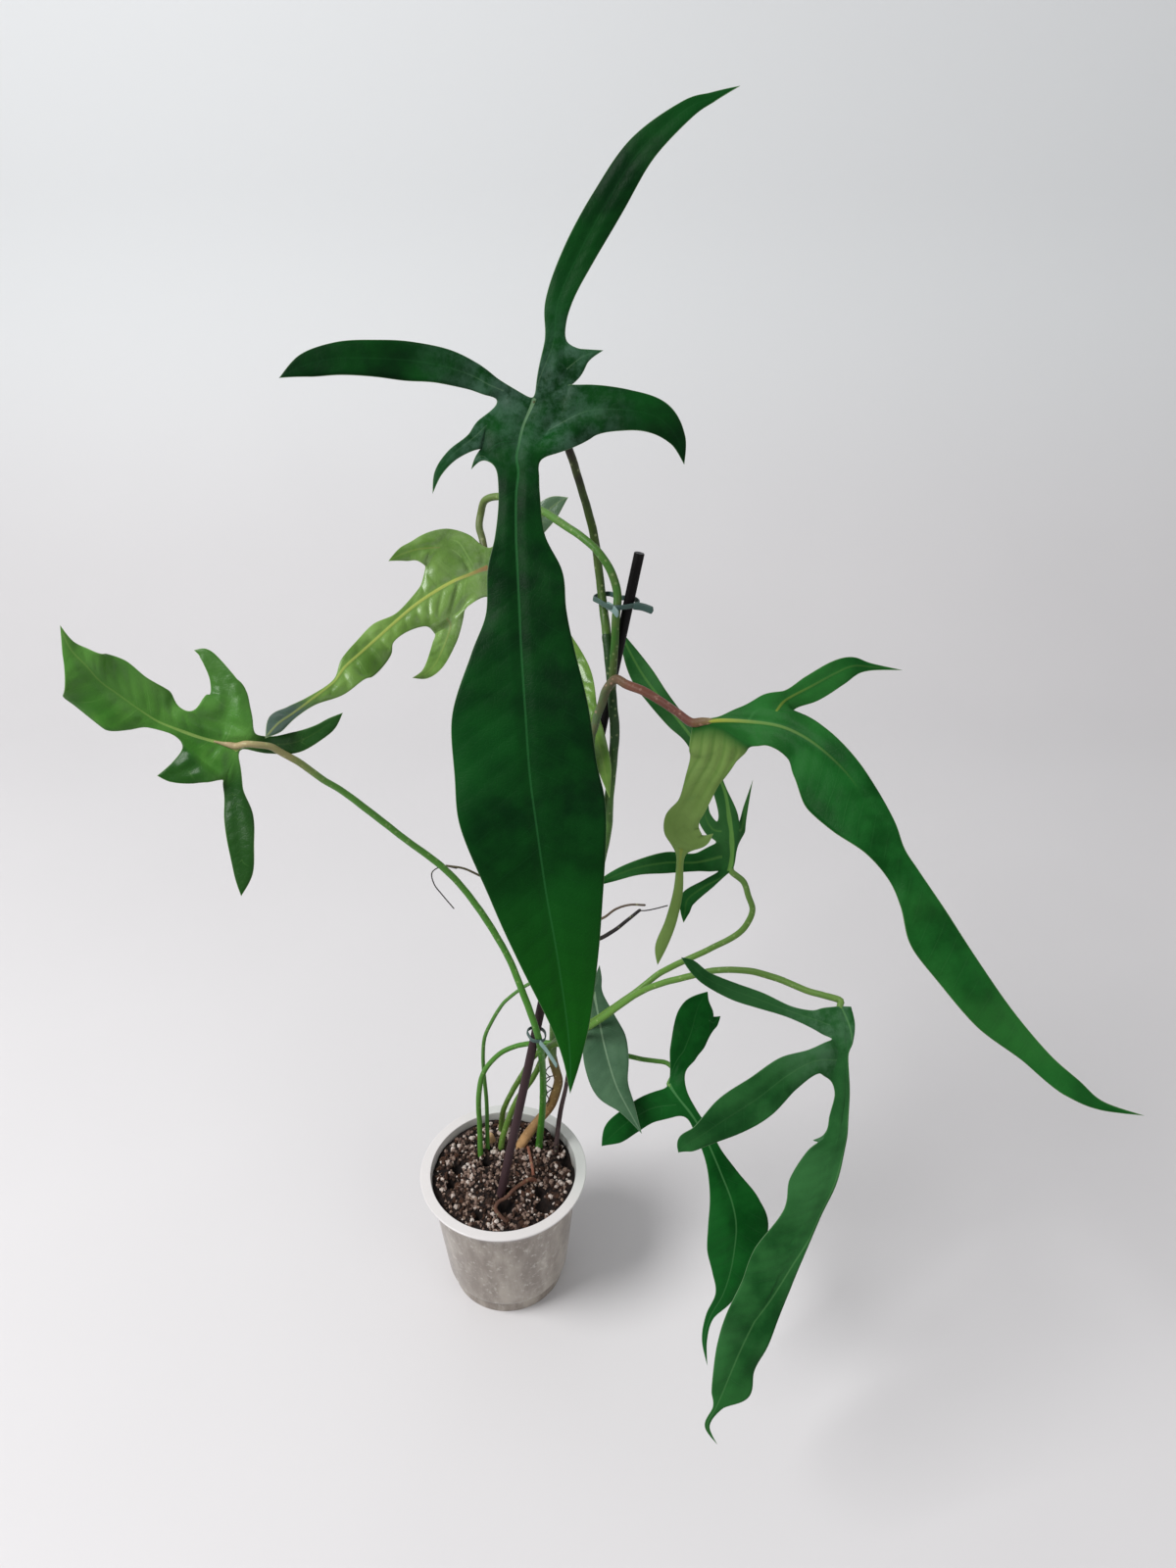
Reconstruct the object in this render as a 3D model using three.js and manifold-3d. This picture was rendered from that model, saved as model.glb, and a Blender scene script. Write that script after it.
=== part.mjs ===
// A potted climbing philodendron with lobed leaves, tied to a thin stake.
// Millimetres, +Z up. The origin is the centre of the pot's underside.
import * as THREE from 'three';
import { mergeVertices } from 'three/addons/utils/BufferGeometryUtils.js';
import Module from 'manifold-3d';

const wasm = await Module();
wasm.setup();

// Pot
const potHeight = 110;
const rimRadius = 60;
const mouthRadius = 52.6;
const footRadius = 41.5;
const footHeight = 10;
const stepRadius = 45;
const stepHeight = 14;
const shoulderRadius = 53;
const shoulderHeight = 104;
const potWall = 1.2;
const rimThickness = 1.6;
const drainRadius = 3.5;
const drainRing = 28;
const drainCount = 6;
const drainSides = 12;
const potSides = 48;

// Soil
const soilEdgeHeight = 103.5;
const soilMiddleHeight = 107;
const crumbHeight = 0.9;
const soilSlack = 0.2;
const soilRings = 6;

// Stake
const stakeRadius = 3;
const stakeTop = [90, 60, 558];
const stakeFoot = [-17.3, -33.2, 25];

// Clearance between pieces that touch, and between a stalk's end and its blade
const gap = 0.3;
const seatGap = 0.6;

// Stalks: the length of one straight step, and the radius up to which six sides are enough
const stalkStep = 13;
const thinRadius = 1.5;

// Leaves
const bladeThickness = 1;
const cellsPerRow = 2;
const cellsPerHalf = 2;
const waveHeight = 1.6;
const waveRows = 2.6;
const fullWaveWidth = 12;
const rightWavePhase = 1.9;
const towardsViewer = [0, -0.84, 0.55];

const vineTop = [72, 52, 510];

const colours = {
  darkGreen: 0x1c4d20,
  midGreen: 0x2f6a2c,
  freshGreen: 0x4c8f33,
  lightGreen: 0x77a548,
  greyGreen: 0x557a5c,
  stalkGreen: 0x6b9a3d,
  stalkRed: 0x8a6a4c,
  barkTan: 0xb08a5e,
  rootBrown: 0x46352c,
  stakeBlack: 0x17130f,
  tieGrey: 0x5c7572,
  potClear: 0xd6d2cb,
  soilBrown: 0x3b2d23,
};

function material(colour, roughness) {
  return new THREE.MeshStandardMaterial({ color: colour, roughness, metalness: 0 });
}

// Each row of a blade is a point of its midrib, the half widths to its left and right, and, where it
// needs them, the roll of the blade about the midrib and the fold of its halves, in degrees, and how
// far its left and right edges lie ahead of that point.
// Left is the left hand of one who walks from the stalk to the tip on the upper face.
// A lobe grows from a stretch of its parent's edge: left or right, between two row numbers, or from
// the left or right half of the first row, which is called baseLeft or baseRight.
const leafTop = {
  name: 'leaf_top',
  colour: colours.darkGreen,
  face: towardsViewer,
  rows: [
    [34, 48, 645, 12, 16.5, 0, 0, -12.5, -1], [31, 44, 640, 13, 17, 0, 0, -8, -1.5],
    [28, 39, 634, 12.5, 16.5, 0, 0, -2.5, -4], [26, 31, 627, 10.5, 18, 0, 0, -1, -6.5],
    [25, 27, 622, 10, 18.5, 0, 0, 0.5, -5.5], [26, 22, 616, 10.5, 13.5, 0, 0, 0, -6.5],
    [25, 14, 607, 12, 9, 0, 0, -1, -1.5], [25, 2, 591, 14.5, 10.5], [26, -11, 576, 22.5, 15, 0, 0, 1, -1.5],
    [27, -23, 560, 23.5, 17], [28, -35, 544, 26.5, 25], [30, -52, 520, 31.5, 36.5],
    [32, -67, 494, 34, 37.5], [35, -79, 473, 35.5, 37.5], [40, -95, 440, 29.5, 28.5],
    [45, -108, 414, 22.5, 21], [50, -123, 382, 13, 10], [52, -133, 362, 6, 4], [52, -142, 345, 0, 0],
  ],
  lobes: [
    {
      from: 'baseLeft',
      rows: [
        [44, 63, 670, 5, 5], [46, 70, 688, 6.5, 7, 0, 0, -0.5, 1], [56, 79, 708, 8, 8.5, 0, 0, -2, 2],
        [71, 88, 732, 8.5, 9, 0, 0, -1, 1.5], [87, 94, 754, 7.5, 8, 0, 0, -1.5, 1.5],
        [109, 98, 771, 4.5, 4.5, 0, 0, -1, 1], [122, 100, 776, 3, 2], [135, 101, 781, 0, 0],
      ],
      lobes: [{ from: 'right', span: [0, 1], rows: [[59, 60, 664, 4, 4], [69, 64, 666, 0, 0]] }],
    },
    {
      from: 'right',
      span: [0, 1],
      rows: [
        [12, 49, 652, 5.5, 5.5], [2, 50, 657, 7, 7], [-12, 48, 662, 9, 9], [-27, 46, 665, 10, 10],
        [-43, 42, 667, 9, 9], [-62, 38, 668, 8.5, 8.5], [-77, 34, 666, 6, 6], [-90, 29, 661, 0, 0],
      ],
    },
    {
      from: 'left',
      span: [0, 4],
      rows: [
        [61, 43, 641, 13.5, 13], [81, 41, 642, 11, 10.5], [97, 41, 638, 8.5, 8.5],
        [107, 40, 628, 4.5, 4.5], [111, 38, 615, 0, 0],
      ],
    },
    {
      from: 'right',
      span: [2, 4],
      rows: [
        [4, 33, 631, 5.5, 3.5, 0, 0, 4, 0], [-7, 26, 624, 3, 3], [-14, 19, 617, 2, 2],
        [-17, 14, 608, 0, 0],
      ],
    },
    { from: 'right', span: [4, 5], rows: [[6, 27, 623, 2.5, 2], [2, 24, 617, 0, 0]] },
  ],
};

const leafLeftMiddle = {
  name: 'leaf_left_middle',
  colour: colours.lightGreen,
  face: towardsViewer,
  rows: [
    [-1, 115, 526, 17, 9, 0, 0, 6, -4.5], [-11, 109, 524, 15.5, 28.5, 0, 0, 3.5, -8.5],
    [-21, 103, 522, 17.5, 22.5, 0, 0, 5.5, -5.5], [-32, 96, 518, 17, 16.5, 0, 0, 7.5, -7],
    [-43, 88, 513, 15, 7, 0, 0, -0.5, -9.5], [-53, 80, 507, 10, 3.5, 0, 0, -3, -3.5],
    [-62, 70, 502, 8.5, 8, 0, 0, -3, -2.5], [-71, 60, 497, 13, 7, 0, 0, -9.5, -2.5],
    [-80, 50, 492, 15.5, 5, 0, 0, -4, -4], [-86, 40, 487, 10, 1, 0, 0, 0, -1.5],
    [-97, 28, 482, 4, 2.5, 0, 0, -1, 1],
    [-105, 16, 480, 3, 5], [-111, 4, 480, 4.5, 6.5, 0, 0, 2.5, -1.5], [-115, -10, 479, 0, 0],
  ],
  lobes: [
    {
      from: 'right',
      span: [1, 3],
      rows: [[-41, 110, 540, 7, 7, 0, 0, 2, -0.5], [-50, 105, 539, 4.5, 4], [-58, 99, 537, 0, 0]],
    },
    {
      from: 'left',
      span: [1, 4],
      rows: [
        [-22, 86, 500, 7, 8.5, 0, 0, -9, 5.5], [-25, 76, 493, 6, 7, 0, 0, -4, 2.5], [-29, 62, 488, 5, 5.5],
        [-34, 52, 486, 3, 3], [-41, 45, 487, 0, 0],
      ],
    },
    {
      from: 'baseRight',
      rows: [[14, 127, 536, 8.5, 8.5], [30, 139, 547, 8, 8], [40, 144, 555, 6, 6], [49, 145, 560, 0, 0]],
    },
    {
      from: 'baseLeft',
      rows: [
        [19, 109, 511, 9, 9], [37, 90, 498, 8.5, 8.5], [55, 67, 480, 7.5, 7.5], [61, 43, 466, 6, 6],
        [66.5, 34, 453, 5, 5], [71, 27, 436, 4, 4], [74, 21, 419, 0, 0],
      ],
    },
  ],
};

const leafLeftLow = {
  name: 'leaf_left_low',
  colour: colours.freshGreen,
  face: towardsViewer,
  rows: [
    [-132, -10, 474, 18, 8, 0, 0, 1.5, -7.5], [-143, -10, 477, 12, 11, 0, 0, 2.5, -2.5],
    [-153, -12, 482, 5, 11.5, 0, 0, 4, 3], [-162, -13, 487, 3.5, 11.5, 0, 0, 2.5, 1.5],
    [-171, -13, 492, 5.5, 17, 0, 0, 1.5, 1.5], [-180, -13, 500, 12, 16.5, 0, 0, -4.5, 5.5],
    [-188, -13, 508, 19, 16.5, 0, 0, -7, 8.5], [-195, -14, 516, 19, 12.5, 0, 0, -6.5, 9.5],
    [-200, -15, 526, 19.5, 7, 0, 0, -5.5, 6.5], [-206, -15, 536, 6, 3.5, 0, 0, -3.5, 2],
    [-208, -15, 549, 0, 0],
  ],
  lobes: [
    {
      from: 'right',
      span: [0, 2],
      rows: [
        [-135, 4, 496, 12, 10, 0, 0, 2.5, -1], [-139, 10, 504, 7, 7.5, 0, 0, 2.5, -3],
        [-144, 15, 512, 5, 4.5, 0, 0, 2, -2.5], [-149, 18, 517, 3.5, 2.5, 0, 0, 1, -1],
        [-155, 19, 518, 0, 0],
      ],
    },
    {
      from: 'left',
      span: [0, 2],
      rows: [
        [-151, -20, 468, 11, 12.5, 0, 0, 0, 1.5], [-159, -23, 465, 7.5, 7, 0, 0, -3, 3.5],
        [-166, -25, 464, 3.5, 3.5, 0, 0, -1.5, 2.5], [-172, -26, 465, 0, 0],
      ],
    },
    {
      from: 'baseLeft',
      rows: [
        [-134, -21, 454, 5.5, 5.5], [-131, -30, 442, 8, 7.5, 0, 0, 1.5, -0.5], [-129, -40, 429, 7.5, 7],
        [-128, -48, 416, 5.5, 5, 0, 0, 0, 1], [-129, -55, 405, 0, 0],
      ],
    },
    {
      from: 'baseRight',
      rows: [
        [-116, -2.5, 470.5, 4.5, 5], [-103, 4, 468, 6, 6], [-91.5, 10.5, 471, 4, 5, 0, 0, -0.5, 1],
        [-84, 15, 475, 2.5, 4], [-78, 20, 478, 0, 0],
      ],
    },
  ],
};

const leafRightLarge = {
  name: 'leaf_right_large',
  colour: colours.midGreen,
  face: towardsViewer,
  rows: [
    [118, -7, 487, 2, 2], [131, -13, 492, 2, 3], [145, -21, 496, 9, 12.5, 0, 0, 0, 3.5],
    [159, -30, 499, 7, 11.5, 0, 0, 0.5, -0.5], [169, -38, 499, 10.5, 14, 0, 0, -4, 3],
    [179, -49, 497, 10, 20, 0, 0, -2.5, 1.5], [190, -61, 491, 8.5, 26.5, 0, 0, -1, 2],
    [199, -73, 483, 7.5, 23, 0, 0, 1, 6], [209, -86, 473, 5, 16, 0, 0, -0.5, 5.5],
    [216, -94, 465, 1.5, 13.5, 0, 0, 0, 7], [223, -101, 457, 1, 16.5, 0, 0, 0, 9],
    [235, -114, 443, 1, 22.5, 0, 0, 0, 4.5], [248, -129, 427, 1, 21, 0, 0, 0, 0.5],
    [265, -145, 407, 1, 18, 0, 0, 0, -3.5], [282, -159, 391, 1, 10.5, 0, 0, 0, -4.5],
    [295, -169, 383, 1, 9, 0, 0, 0, -1], [307, -174, 374, 1, 3.5], [326, -179, 371, 0, 0],
  ],
  lobes: [
    {
      from: 'left',
      span: [2, 4],
      rows: [
        [167, -13, 505, 5, 7], [180, -8, 510, 6, 8.5], [194, -2, 515, 6.5, 7.5], [203, 0, 518, 5, 5.5],
        [213, 1, 517, 2, 2], [231, 3, 514, 0, 0],
      ],
    },
    {
      from: 'right',
      span: [0, 2],
      rows: [
        [131, -15, 468, 10.5, 14.5, 0, 0, -1, 0.5], [125, -18, 456, 8.5, 9.5, 0, 0, -3.5, 5],
        [119, -22, 445, 8.5, 7.5, 0, 0, -3, 3], [114, -26, 436, 9, 10, 0, 0, -2.5, 2],
        [114, -28, 428, 9.5, 9.5, 0, 0, 2, -2], [120, -30, 424, 5.5, 5.5, 0, 0, 3, -2.5],
        [126, -29, 424, 3.5, 3], [131, -28, 428, 0, 0],
      ],
      lobes: [
        {
          from: 'right',
          span: [5.5, 6],
          rows: [
            [113, -31, 410, 2, 2], [112, -36, 393, 3, 2.5], [108, -44, 378, 3.5, 3],
            [103, -50, 364, 3, 3.5], [101, -54, 354, 0, 0],
          ],
        },
      ],
    },
  ],
};

const leafRightBack = {
  name: 'leaf_right_back',
  colour: colours.darkGreen,
  face: towardsViewer,
  rows: [
    [149, 13, 371, 6, 1.5], [150, 26, 383, 7, 3.5], [149, 38, 392, 6, 6], [146, 54, 405, 7.5, 1.5],
    [137, 69, 416, 7.5, 4], [127, 82, 425, 5, 4.5, 0, 0, -1, 0], [118, 94, 432, 7.5, 5, 0, 0, -1.5, 0],
    [107, 104, 442, 8, 6], [97, 114, 452, 8, 7, 0, 0, 1, 0], [89, 123, 463, 5, 5, 0, 0, 1, 0],
    [81, 135, 476, 0, 0],
  ],
  lobes: [
    {
      from: 'left',
      span: [0, 1],
      rows: [
        [127, 12, 378, 5.5, 5.5], [109, 9, 380, 6.5, 6.5], [91, 4, 380, 4.5, 4.5], [76, -1, 377, 3, 3],
        [61, -7, 373, 0, 0],
      ],
    },
    {
      from: 'left',
      span: [1, 2],
      rows: [[138, 33, 388, 5, 5], [134, 39, 394, 4.5, 3.5], [136, 45, 400, 0, 0]],
    },
    {
      from: 'right',
      span: [1, 2],
      rows: [[157, 37, 386, 3, 2.5], [160, 47, 395, 1.5, 1.5], [165, 60, 407, 0, 0]],
    },
    {
      from: 'baseLeft',
      rows: [[135, 11, 362, 3.5, 3.5], [123, 7, 354, 5, 5], [121, 3, 347, 3, 3], [120, -2, 342, 0, 0]],
    },
  ],
};

const leafRightHanging = {
  name: 'leaf_right_hanging',
  colour: colours.midGreen,
  face: towardsViewer,
  rows: [
    [208, -59, 327, 6, 10.5, 0, 0, 1.5, -1], [210, -66, 319, 6, 8, 0, 0, 1, -0.5],
    [210, -73, 313, 4.5, 5, 0, 0, 1, -1], [210, -79, 307, 1.5, 5.5, 0, 0, -0.5, 2.5],
    [209, -86, 300, 2.5, 7, 0, 0, 1, 3.5], [209, -92, 290, 3, 6, 0, 0, 1.5, 1],
    [207, -100, 279, 4, 7, 0, 0, 0.5, 0.5], [205, -106, 270, 5.5, 7, 0, 0, 0.5, 1.5],
    [201, -111, 261, 7.5, 13, 0, 0, 0.5, 1.5], [194, -120, 246, 9.5, 16, 0, 0, -1, 4],
    [186, -129, 230, 9.5, 12.5, 0, 0, -1, 1.5], [176, -140, 209, 9.5, 18, 0, 0, -2.5, 4],
    [168, -150, 191, 10, 17.5, 0, 0, -4, 4], [158, -160, 175, 12, 17, 0, 0, -4.5, 3],
    [151, -167, 160, 13, 14, 0, 0, -4.5, 3], [145, -174, 146, 12.5, 10.5, 0, 0, -5, 2.5],
    [140, -180, 134, 14.5, 6.5, 0, 0, -5.5, 1.5], [136, -185, 128, 3.5, 2, 0, 0, -1, 0],
    [131, -190, 118, 1.5, 1.5], [137, -195, 107, 0, 0],
  ],
  lobes: [
    {
      from: 'right',
      span: [0, 2],
      rows: [
        [194, -62, 319, 6, 5, 0, 0, -2, 1.5], [180, -56, 320, 4, 3], [163, -51, 324, 5, 4.5],
        [147, -47, 328, 5.5, 4.5], [131, -43, 334, 4, 4], [122, -39, 341, 3, 3], [116, -37, 345, 0, 0],
      ],
    },
    {
      from: 'right',
      span: [2, 4],
      rows: [
        [190, -86, 310, 7.5, 7, 0, 0, -1.5, 1], [174, -94, 307, 10, 11], [157, -104, 300, 12, 12],
        [139, -114, 295, 11, 11], [124, -122, 290, 7, 6.5, 0, 0, -0.5, 1], [115, -127, 288, 4.5, 5.5],
        [111, -129, 284, 0, 0],
      ],
    },
    { from: 'right', span: [7, 7.5], rows: [[194, -107, 268, 1.5, 1], [189, -107, 268, 0, 0]] },
  ],
};

const leafLowMiddle = {
  name: 'leaf_low_middle',
  colour: colours.midGreen,
  face: towardsViewer,
  rows: [
    [115, -15, 213, 12.5, 4, 0, 0, 0.5, 0], [122, -22, 207, 7.5, 4, 0, 0, -1.5, 0],
    [130, -28, 199, 4.5, 3, 0, 0, 0, -3], [138, -35, 188, 5.5, 5, 0, 0, 0.5, -1.5],
    [144, -43, 178, 6.5, 6, 0, 0, 1, -1], [150, -51, 166, 11.5, 8.5, 0, 0, 4, -3.5],
    [156, -61, 154, 18, 13.5, 0, 0, 5, -4.5], [159, -70, 141, 21.5, 18.5, 0, 0, 1.5, -1],
    [158, -78, 126, 18.5, 18, 0, 0, -2, 2], [155, -87, 113, 12, 11.5, 0, 0, -2, 2], [150, -95, 101, 8, 5],
    [142, -102, 88, 2.5, 3], [138, -111, 76, 2, 1.5], [140, -121, 63, 0, 0],
  ],
  lobes: [
    {
      from: 'baseLeft',
      rows: [
        [125, 1, 226, 9.5, 9.5], [131, 12, 236, 12.5, 12.5, 0, 0, 1.5, -1.5],
        [135, 20, 248, 10.5, 5.5, 0, 0, 1, 5.5], [142, 27, 258, 0, 0],
      ],
      lobes: [{ from: 'right', span: [2, 3], rows: [[146, 16, 240, 5.5, 4.5], [151, 20, 242, 0, 0]] }],
    },
    {
      from: 'right',
      span: [0, 2],
      rows: [
        [103, -27, 204, 9, 9.5], [88, -36, 202, 9.5, 9], [77, -44, 198, 7, 8, 0, 0, -0.5, -1.5],
        [70, -48, 192, 0, 0],
      ],
    },
  ],
};

const leafLowGrey = {
  name: 'leaf_low_grey',
  colour: colours.greyGreen,
  face: towardsViewer,
  rows: [
    [65, 19.5, 264, 5, 4], [68, 8.5, 254, 10, 7], [71, -4, 244.5, 15, 13.5], [75, -16, 234.5, 13.5, 16],
    [80, -27, 224.5, 8, 14.5], [87, -37, 215.5, 5, 5.5], [96, -48.5, 204.5, 0, 0],
  ],
  lobes: [{ from: 'baseLeft', rows: [[68, 28.5, 268, 2.5, 2.5], [69, 35.5, 274, 0, 0]] }],
};

// Each stalk is a route with a radius at its foot and one at its end. A stalk with a leaf ends
// behind that leaf's first row, or in front of it where the stalk comes over a lobe.
const stalks = [
  {
    name: 'petiole_top',
    leaf: leafTop,
    colour: colours.stalkRed,
    radii: [2.6, 2.1],
    route: [
      [72, 53, 510.9], [71, 62, 516], [68, 76, 536], [65, 84, 557], [61, 84, 574], [56, 80, 593],
      [50, 71, 615], [42, 64, 633],
    ],
  },
  {
    name: 'petiole_left_middle',
    leaf: leafLeftMiddle,
    colour: colours.stalkGreen,
    radii: [2.4, 2.2],
    route: [
      [76, 44, 507], [77, 47, 515], [77, 50, 523], [78, 56, 533], [75, 62, 544], [68, 68, 554],
      [58, 78, 560], [46, 92, 563], [35, 106, 565], [20, 121, 566], [6, 132, 565], [-2, 136, 561],
      [-5, 138, 552], [-6, 134, 545], [-4, 130, 538],
    ],
  },
  {
    name: 'petiole_left_low',
    leaf: leafLeftLow,
    inFront: true,
    colour: colours.stalkGreen,
    radii: [2.5, 1.9],
    route: [
      [25, 22.5, 86], [25, 23, 108.5], [27, 21, 132], [29, 18, 161], [30, 4, 215.5], [27.5, -3.3, 251],
      [19, 4, 278], [9, 13, 303], [-11, 19, 342], [-27, 19, 367], [-49, 15, 393], [-81, 7, 433],
      [-90.5, 3, 444], [-101, -2, 458.5], [-109.5, -6, 468], [-113.5, -8, 472.5], [-120, -11, 475.5],
      [-126, -12, 476.5],
    ],
  },
  {
    name: 'petiole_right_large',
    leaf: leafRightLarge,
    colour: colours.stalkRed,
    radii: [2.6, 2.4],
    route: [
      [68, 31, 407], [64, 26, 432], [62.5, 27, 453], [65, 29, 464], [68, 31, 474], [72, 33, 486],
      [77, 32, 493], [83, 26, 493], [92, 20, 492], [101, 13, 490], [109, 5, 488],
    ],
  },
  {
    name: 'petiole_right_back',
    leaf: leafRightBack,
    colour: colours.stalkGreen,
    radii: [2.2, 1.9],
    route: [
      [-4, 22, 88], [-3, 22, 110], [2, 25, 130], [10, 26, 153], [22, 23, 179], [34, 16, 215],
      [48, 6.5, 239.5], [64, 1, 255.5], [76, 1, 266.5], [93, 4, 280], [107, 8, 291], [118, 6, 301],
      [131, 5, 310], [143, 4, 319], [154, 3, 328], [160, 3, 337], [163, 6, 346], [160, 9, 355],
      [157, 12, 363],
    ],
  },
  {
    name: 'petiole_right_hanging',
    leaf: leafRightHanging,
    colour: colours.stalkGreen,
    radii: [2, 2],
    route: [
      [-5, 42, 88], [-4, 38, 110], [-1, 34, 134], [7, 30, 159], [15, 25, 181], [24, 18, 206],
      [38, 7, 228.5], [55, -4, 250], [69, -9, 267], [93, -10, 291], [107, -14, 303], [125, -19, 314],
      [138, -22, 321], [150, -27, 326], [161, -32, 329], [176, -39, 329], [190, -47, 328],
      [199, -51, 328], [209, -55, 327],
    ],
  },
  {
    name: 'petiole_low_middle',
    leaf: leafLowMiddle,
    colour: colours.stalkGreen,
    radii: [2, 1.6],
    route: [
      [-18, 13, 85], [-18, 15, 104], [-18, 23, 132], [-18, 26, 152], [-15, 30, 172], [-10, 31, 183],
      [0, 32, 195], [10, 32, 201], [21, 29, 207], [31, 24, 213], [41, 21, 214], [51, 19, 215],
      [68, 12, 218], [90, 4.5, 219.5], [98, 3.5, 218], [106.5, 2.5, 217.5], [114.5, 1, 217],
      [119, -4, 215],
    ],
  },
  {
    name: 'petiole_low_grey',
    leaf: leafLowGrey,
    colour: colours.stalkGreen,
    radii: [1.6, 1.1],
    route: [
      [-12, 19, 85], [-13, 20, 104], [-13, 24, 118], [-13, 32, 146], [-14, 36, 170], [-14, 38, 185],
      [-12, 39, 203], [-7, 40, 216], [-1, 41, 228], [4, 41, 236], [24, 41, 254], [45, 40, 261],
      [56, 37, 263], [62, 31, 264],
    ],
  },
  {
    name: 'vine_old_stem',
    colour: colours.barkTan,
    radii: [3.8, 3.2],
    route: [
      [2, 21, 86], [10, 23.5, 104], [16, 25, 116], [25, 28, 129.5], [33, 29.5, 141], [37, 29, 154.5],
      [40, 29.5, 170], [38, 29, 182], [36, 29, 192.8],
    ],
  },
  {
    name: 'vine_stem',
    colour: colours.stalkGreen,
    radii: [3, 2.7],
    route: [
      [36, 29, 194], [37, 32, 213], [38, 32, 227], [50, 32, 281], [61, 32, 331], [69, 33, 362],
      [73, 34, 384], [74, 33, 410], [76, 35, 434], [77, 36, 455], [76, 36, 470], [75, 39, 482],
      [74, 42, 491], [73, 47, 503], vineTop,
    ],
  },
  {
    name: 'root_down',
    colour: colours.rootBrown,
    radii: [1.9, 1.2],
    route: [
      [36, 19, 86], [37, 20, 102], [39, 23, 123], [41, 25, 141], [45, 27, 163], [48, 29, 184],
      [50, 30, 201], [53, 31, 238], [56, 32, 272],
    ],
  },
  {
    name: 'root_left',
    colour: colours.rootBrown,
    radii: [1, 0.7],
    route: [[58, 31, 334], [36, 31, 336], [11, 32, 346], [-5, 31, 352], [-17, 32, 358], [-28, 31, 361]],
  },
  {
    name: 'root_right_thick',
    colour: colours.rootBrown,
    radii: [1.4, 1.1],
    route: [[56.9, 29.8, 298], [70, 26, 306], [79, 25, 314], [88, 23, 325], [94, 21, 333]],
  },
  {
    name: 'root_right_thin',
    colour: colours.rootBrown,
    radii: [0.9, 0.7],
    route: [[60.8, 30.1, 315.5], [71, 27, 322], [79, 26, 330], [88, 23, 336], [97, 19, 339]],
  },
  {
    name: 'root_loop',
    colour: colours.barkTan,
    radii: [1.6, 1.2],
    route: [
      [24, -6, 104], [19, -9, 109.5], [12, -14, 109.5], [7, -19.5, 109.5], [3, -24.5, 109],
      [-2, -28, 108.8], [-4, -33, 108.3], [0, -38, 107], [7, -42, 103],
    ],
  },
  {
    name: 'vine_knuckle',
    colour: colours.barkTan,
    radii: [3.2, 2.6],
    route: [[-6, 30, 88], [-10, 29, 104], [-11, 28, 112]],
  },
];

// A value between the rows of a table, on a smooth curve through them.
function between(rows, s) {
  const last = rows.length - 1;
  const i = Math.min(Math.floor(s), last - 1);
  const f = s - i;
  const [a, b, c, d] = [-1, 0, 1, 2].map((k) => rows[Math.min(Math.max(i + k, 0), last)]);
  return b.map((_, k) => (
    b[k] + 0.5 * f * (c[k] - a[k] + f * (2 * a[k] - 5 * b[k] + 4 * c[k] - d[k]
      + f * (3 * (b[k] - c[k]) + d[k] - a[k])))
  ));
}

function fullRow([x, y, z, left, right, roll = 0, fold = 0, leftSweep = 0, rightSweep = 0]) {
  return [x, y, z, left, right, roll, fold, leftSweep, rightSweep];
}

// The directions of a blade at one place: along the midrib, out of the upper face, and to the left.
function bladeFrame(rows, s, face) {
  const step = 0.05;
  const last = rows.length - 1;
  const ahead = between(rows, Math.min(s + step, last));
  const behind = between(rows, Math.max(s - step, 0));
  const way = [0, 1, 2].map((axis) => ahead[axis] - behind[axis]);
  const along = new THREE.Vector3(...way).normalize();
  const roll = THREE.MathUtils.degToRad(between(rows, s)[5]);
  const up = new THREE.Vector3(...face);
  up.addScaledVector(along, -up.dot(along)).normalize().applyAxisAngle(along, roll);
  return { along, up, left: up.clone().cross(along) };
}

// A point across the blade, where t runs from 1 at the left edge to -1 at the right one. The fold
// lifts both halves, and a sine wave along the blade lifts the edges.
function bladePoint(rows, s, t, face) {
  const row = between(rows, s);
  const { along, up, left } = bladeFrame(rows, s, face);
  const width = Math.max(t > 0 ? row[3] : row[4], 0);
  const sweep = t > 0 ? row[7] : row[8];
  const fold = THREE.MathUtils.degToRad(row[6]);
  const phase = t > 0 ? 0 : rightWavePhase;
  const share = Math.min(width / fullWaveWidth, 1);
  const wave = waveHeight * t * t * share * Math.sin((2 * Math.PI * s) / waveRows + phase);
  return new THREE.Vector3(row[0], row[1], row[2])
    .addScaledVector(left, t * width * Math.cos(fold))
    .addScaledVector(along, Math.abs(t) * sweep)
    .addScaledVector(up, Math.abs(t) * width * Math.sin(fold) + wave);
}

// Adds a grid of triangles between rows of point numbers; a row of one number is a tip.
function addGrid(faces, grid) {
  for (let i = 1; i < grid.length; i += 1) {
    const [near, far] = [grid[i - 1], grid[i]];
    for (let j = 1; j < near.length; j += 1) {
      if (far.length === 1) {
        faces.push([near[j - 1], near[j], far[0]]);
      } else {
        faces.push([near[j - 1], near[j], far[j - 1]], [near[j], far[j], far[j - 1]]);
      }
    }
  }
}

// The points of a lobe's first row: a stretch of its parent's edge, from the left of the lobe to its right.
function lobeEdge(grid, lobe) {
  const middle = (grid[0].length - 1) / 2;
  if (lobe.from === 'baseLeft') {
    return grid[0].slice(0, middle + 1).reverse();
  }
  if (lobe.from === 'baseRight') {
    return grid[0].slice(middle).reverse();
  }
  const [first, last] = lobe.span.map((row) => row * cellsPerRow);
  const stretch = grid.slice(first, last + 1);
  return lobe.from === 'left'
    ? stretch.map((row) => row[0])
    : stretch.map((row) => row[row.length - 1]).reverse();
}

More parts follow.
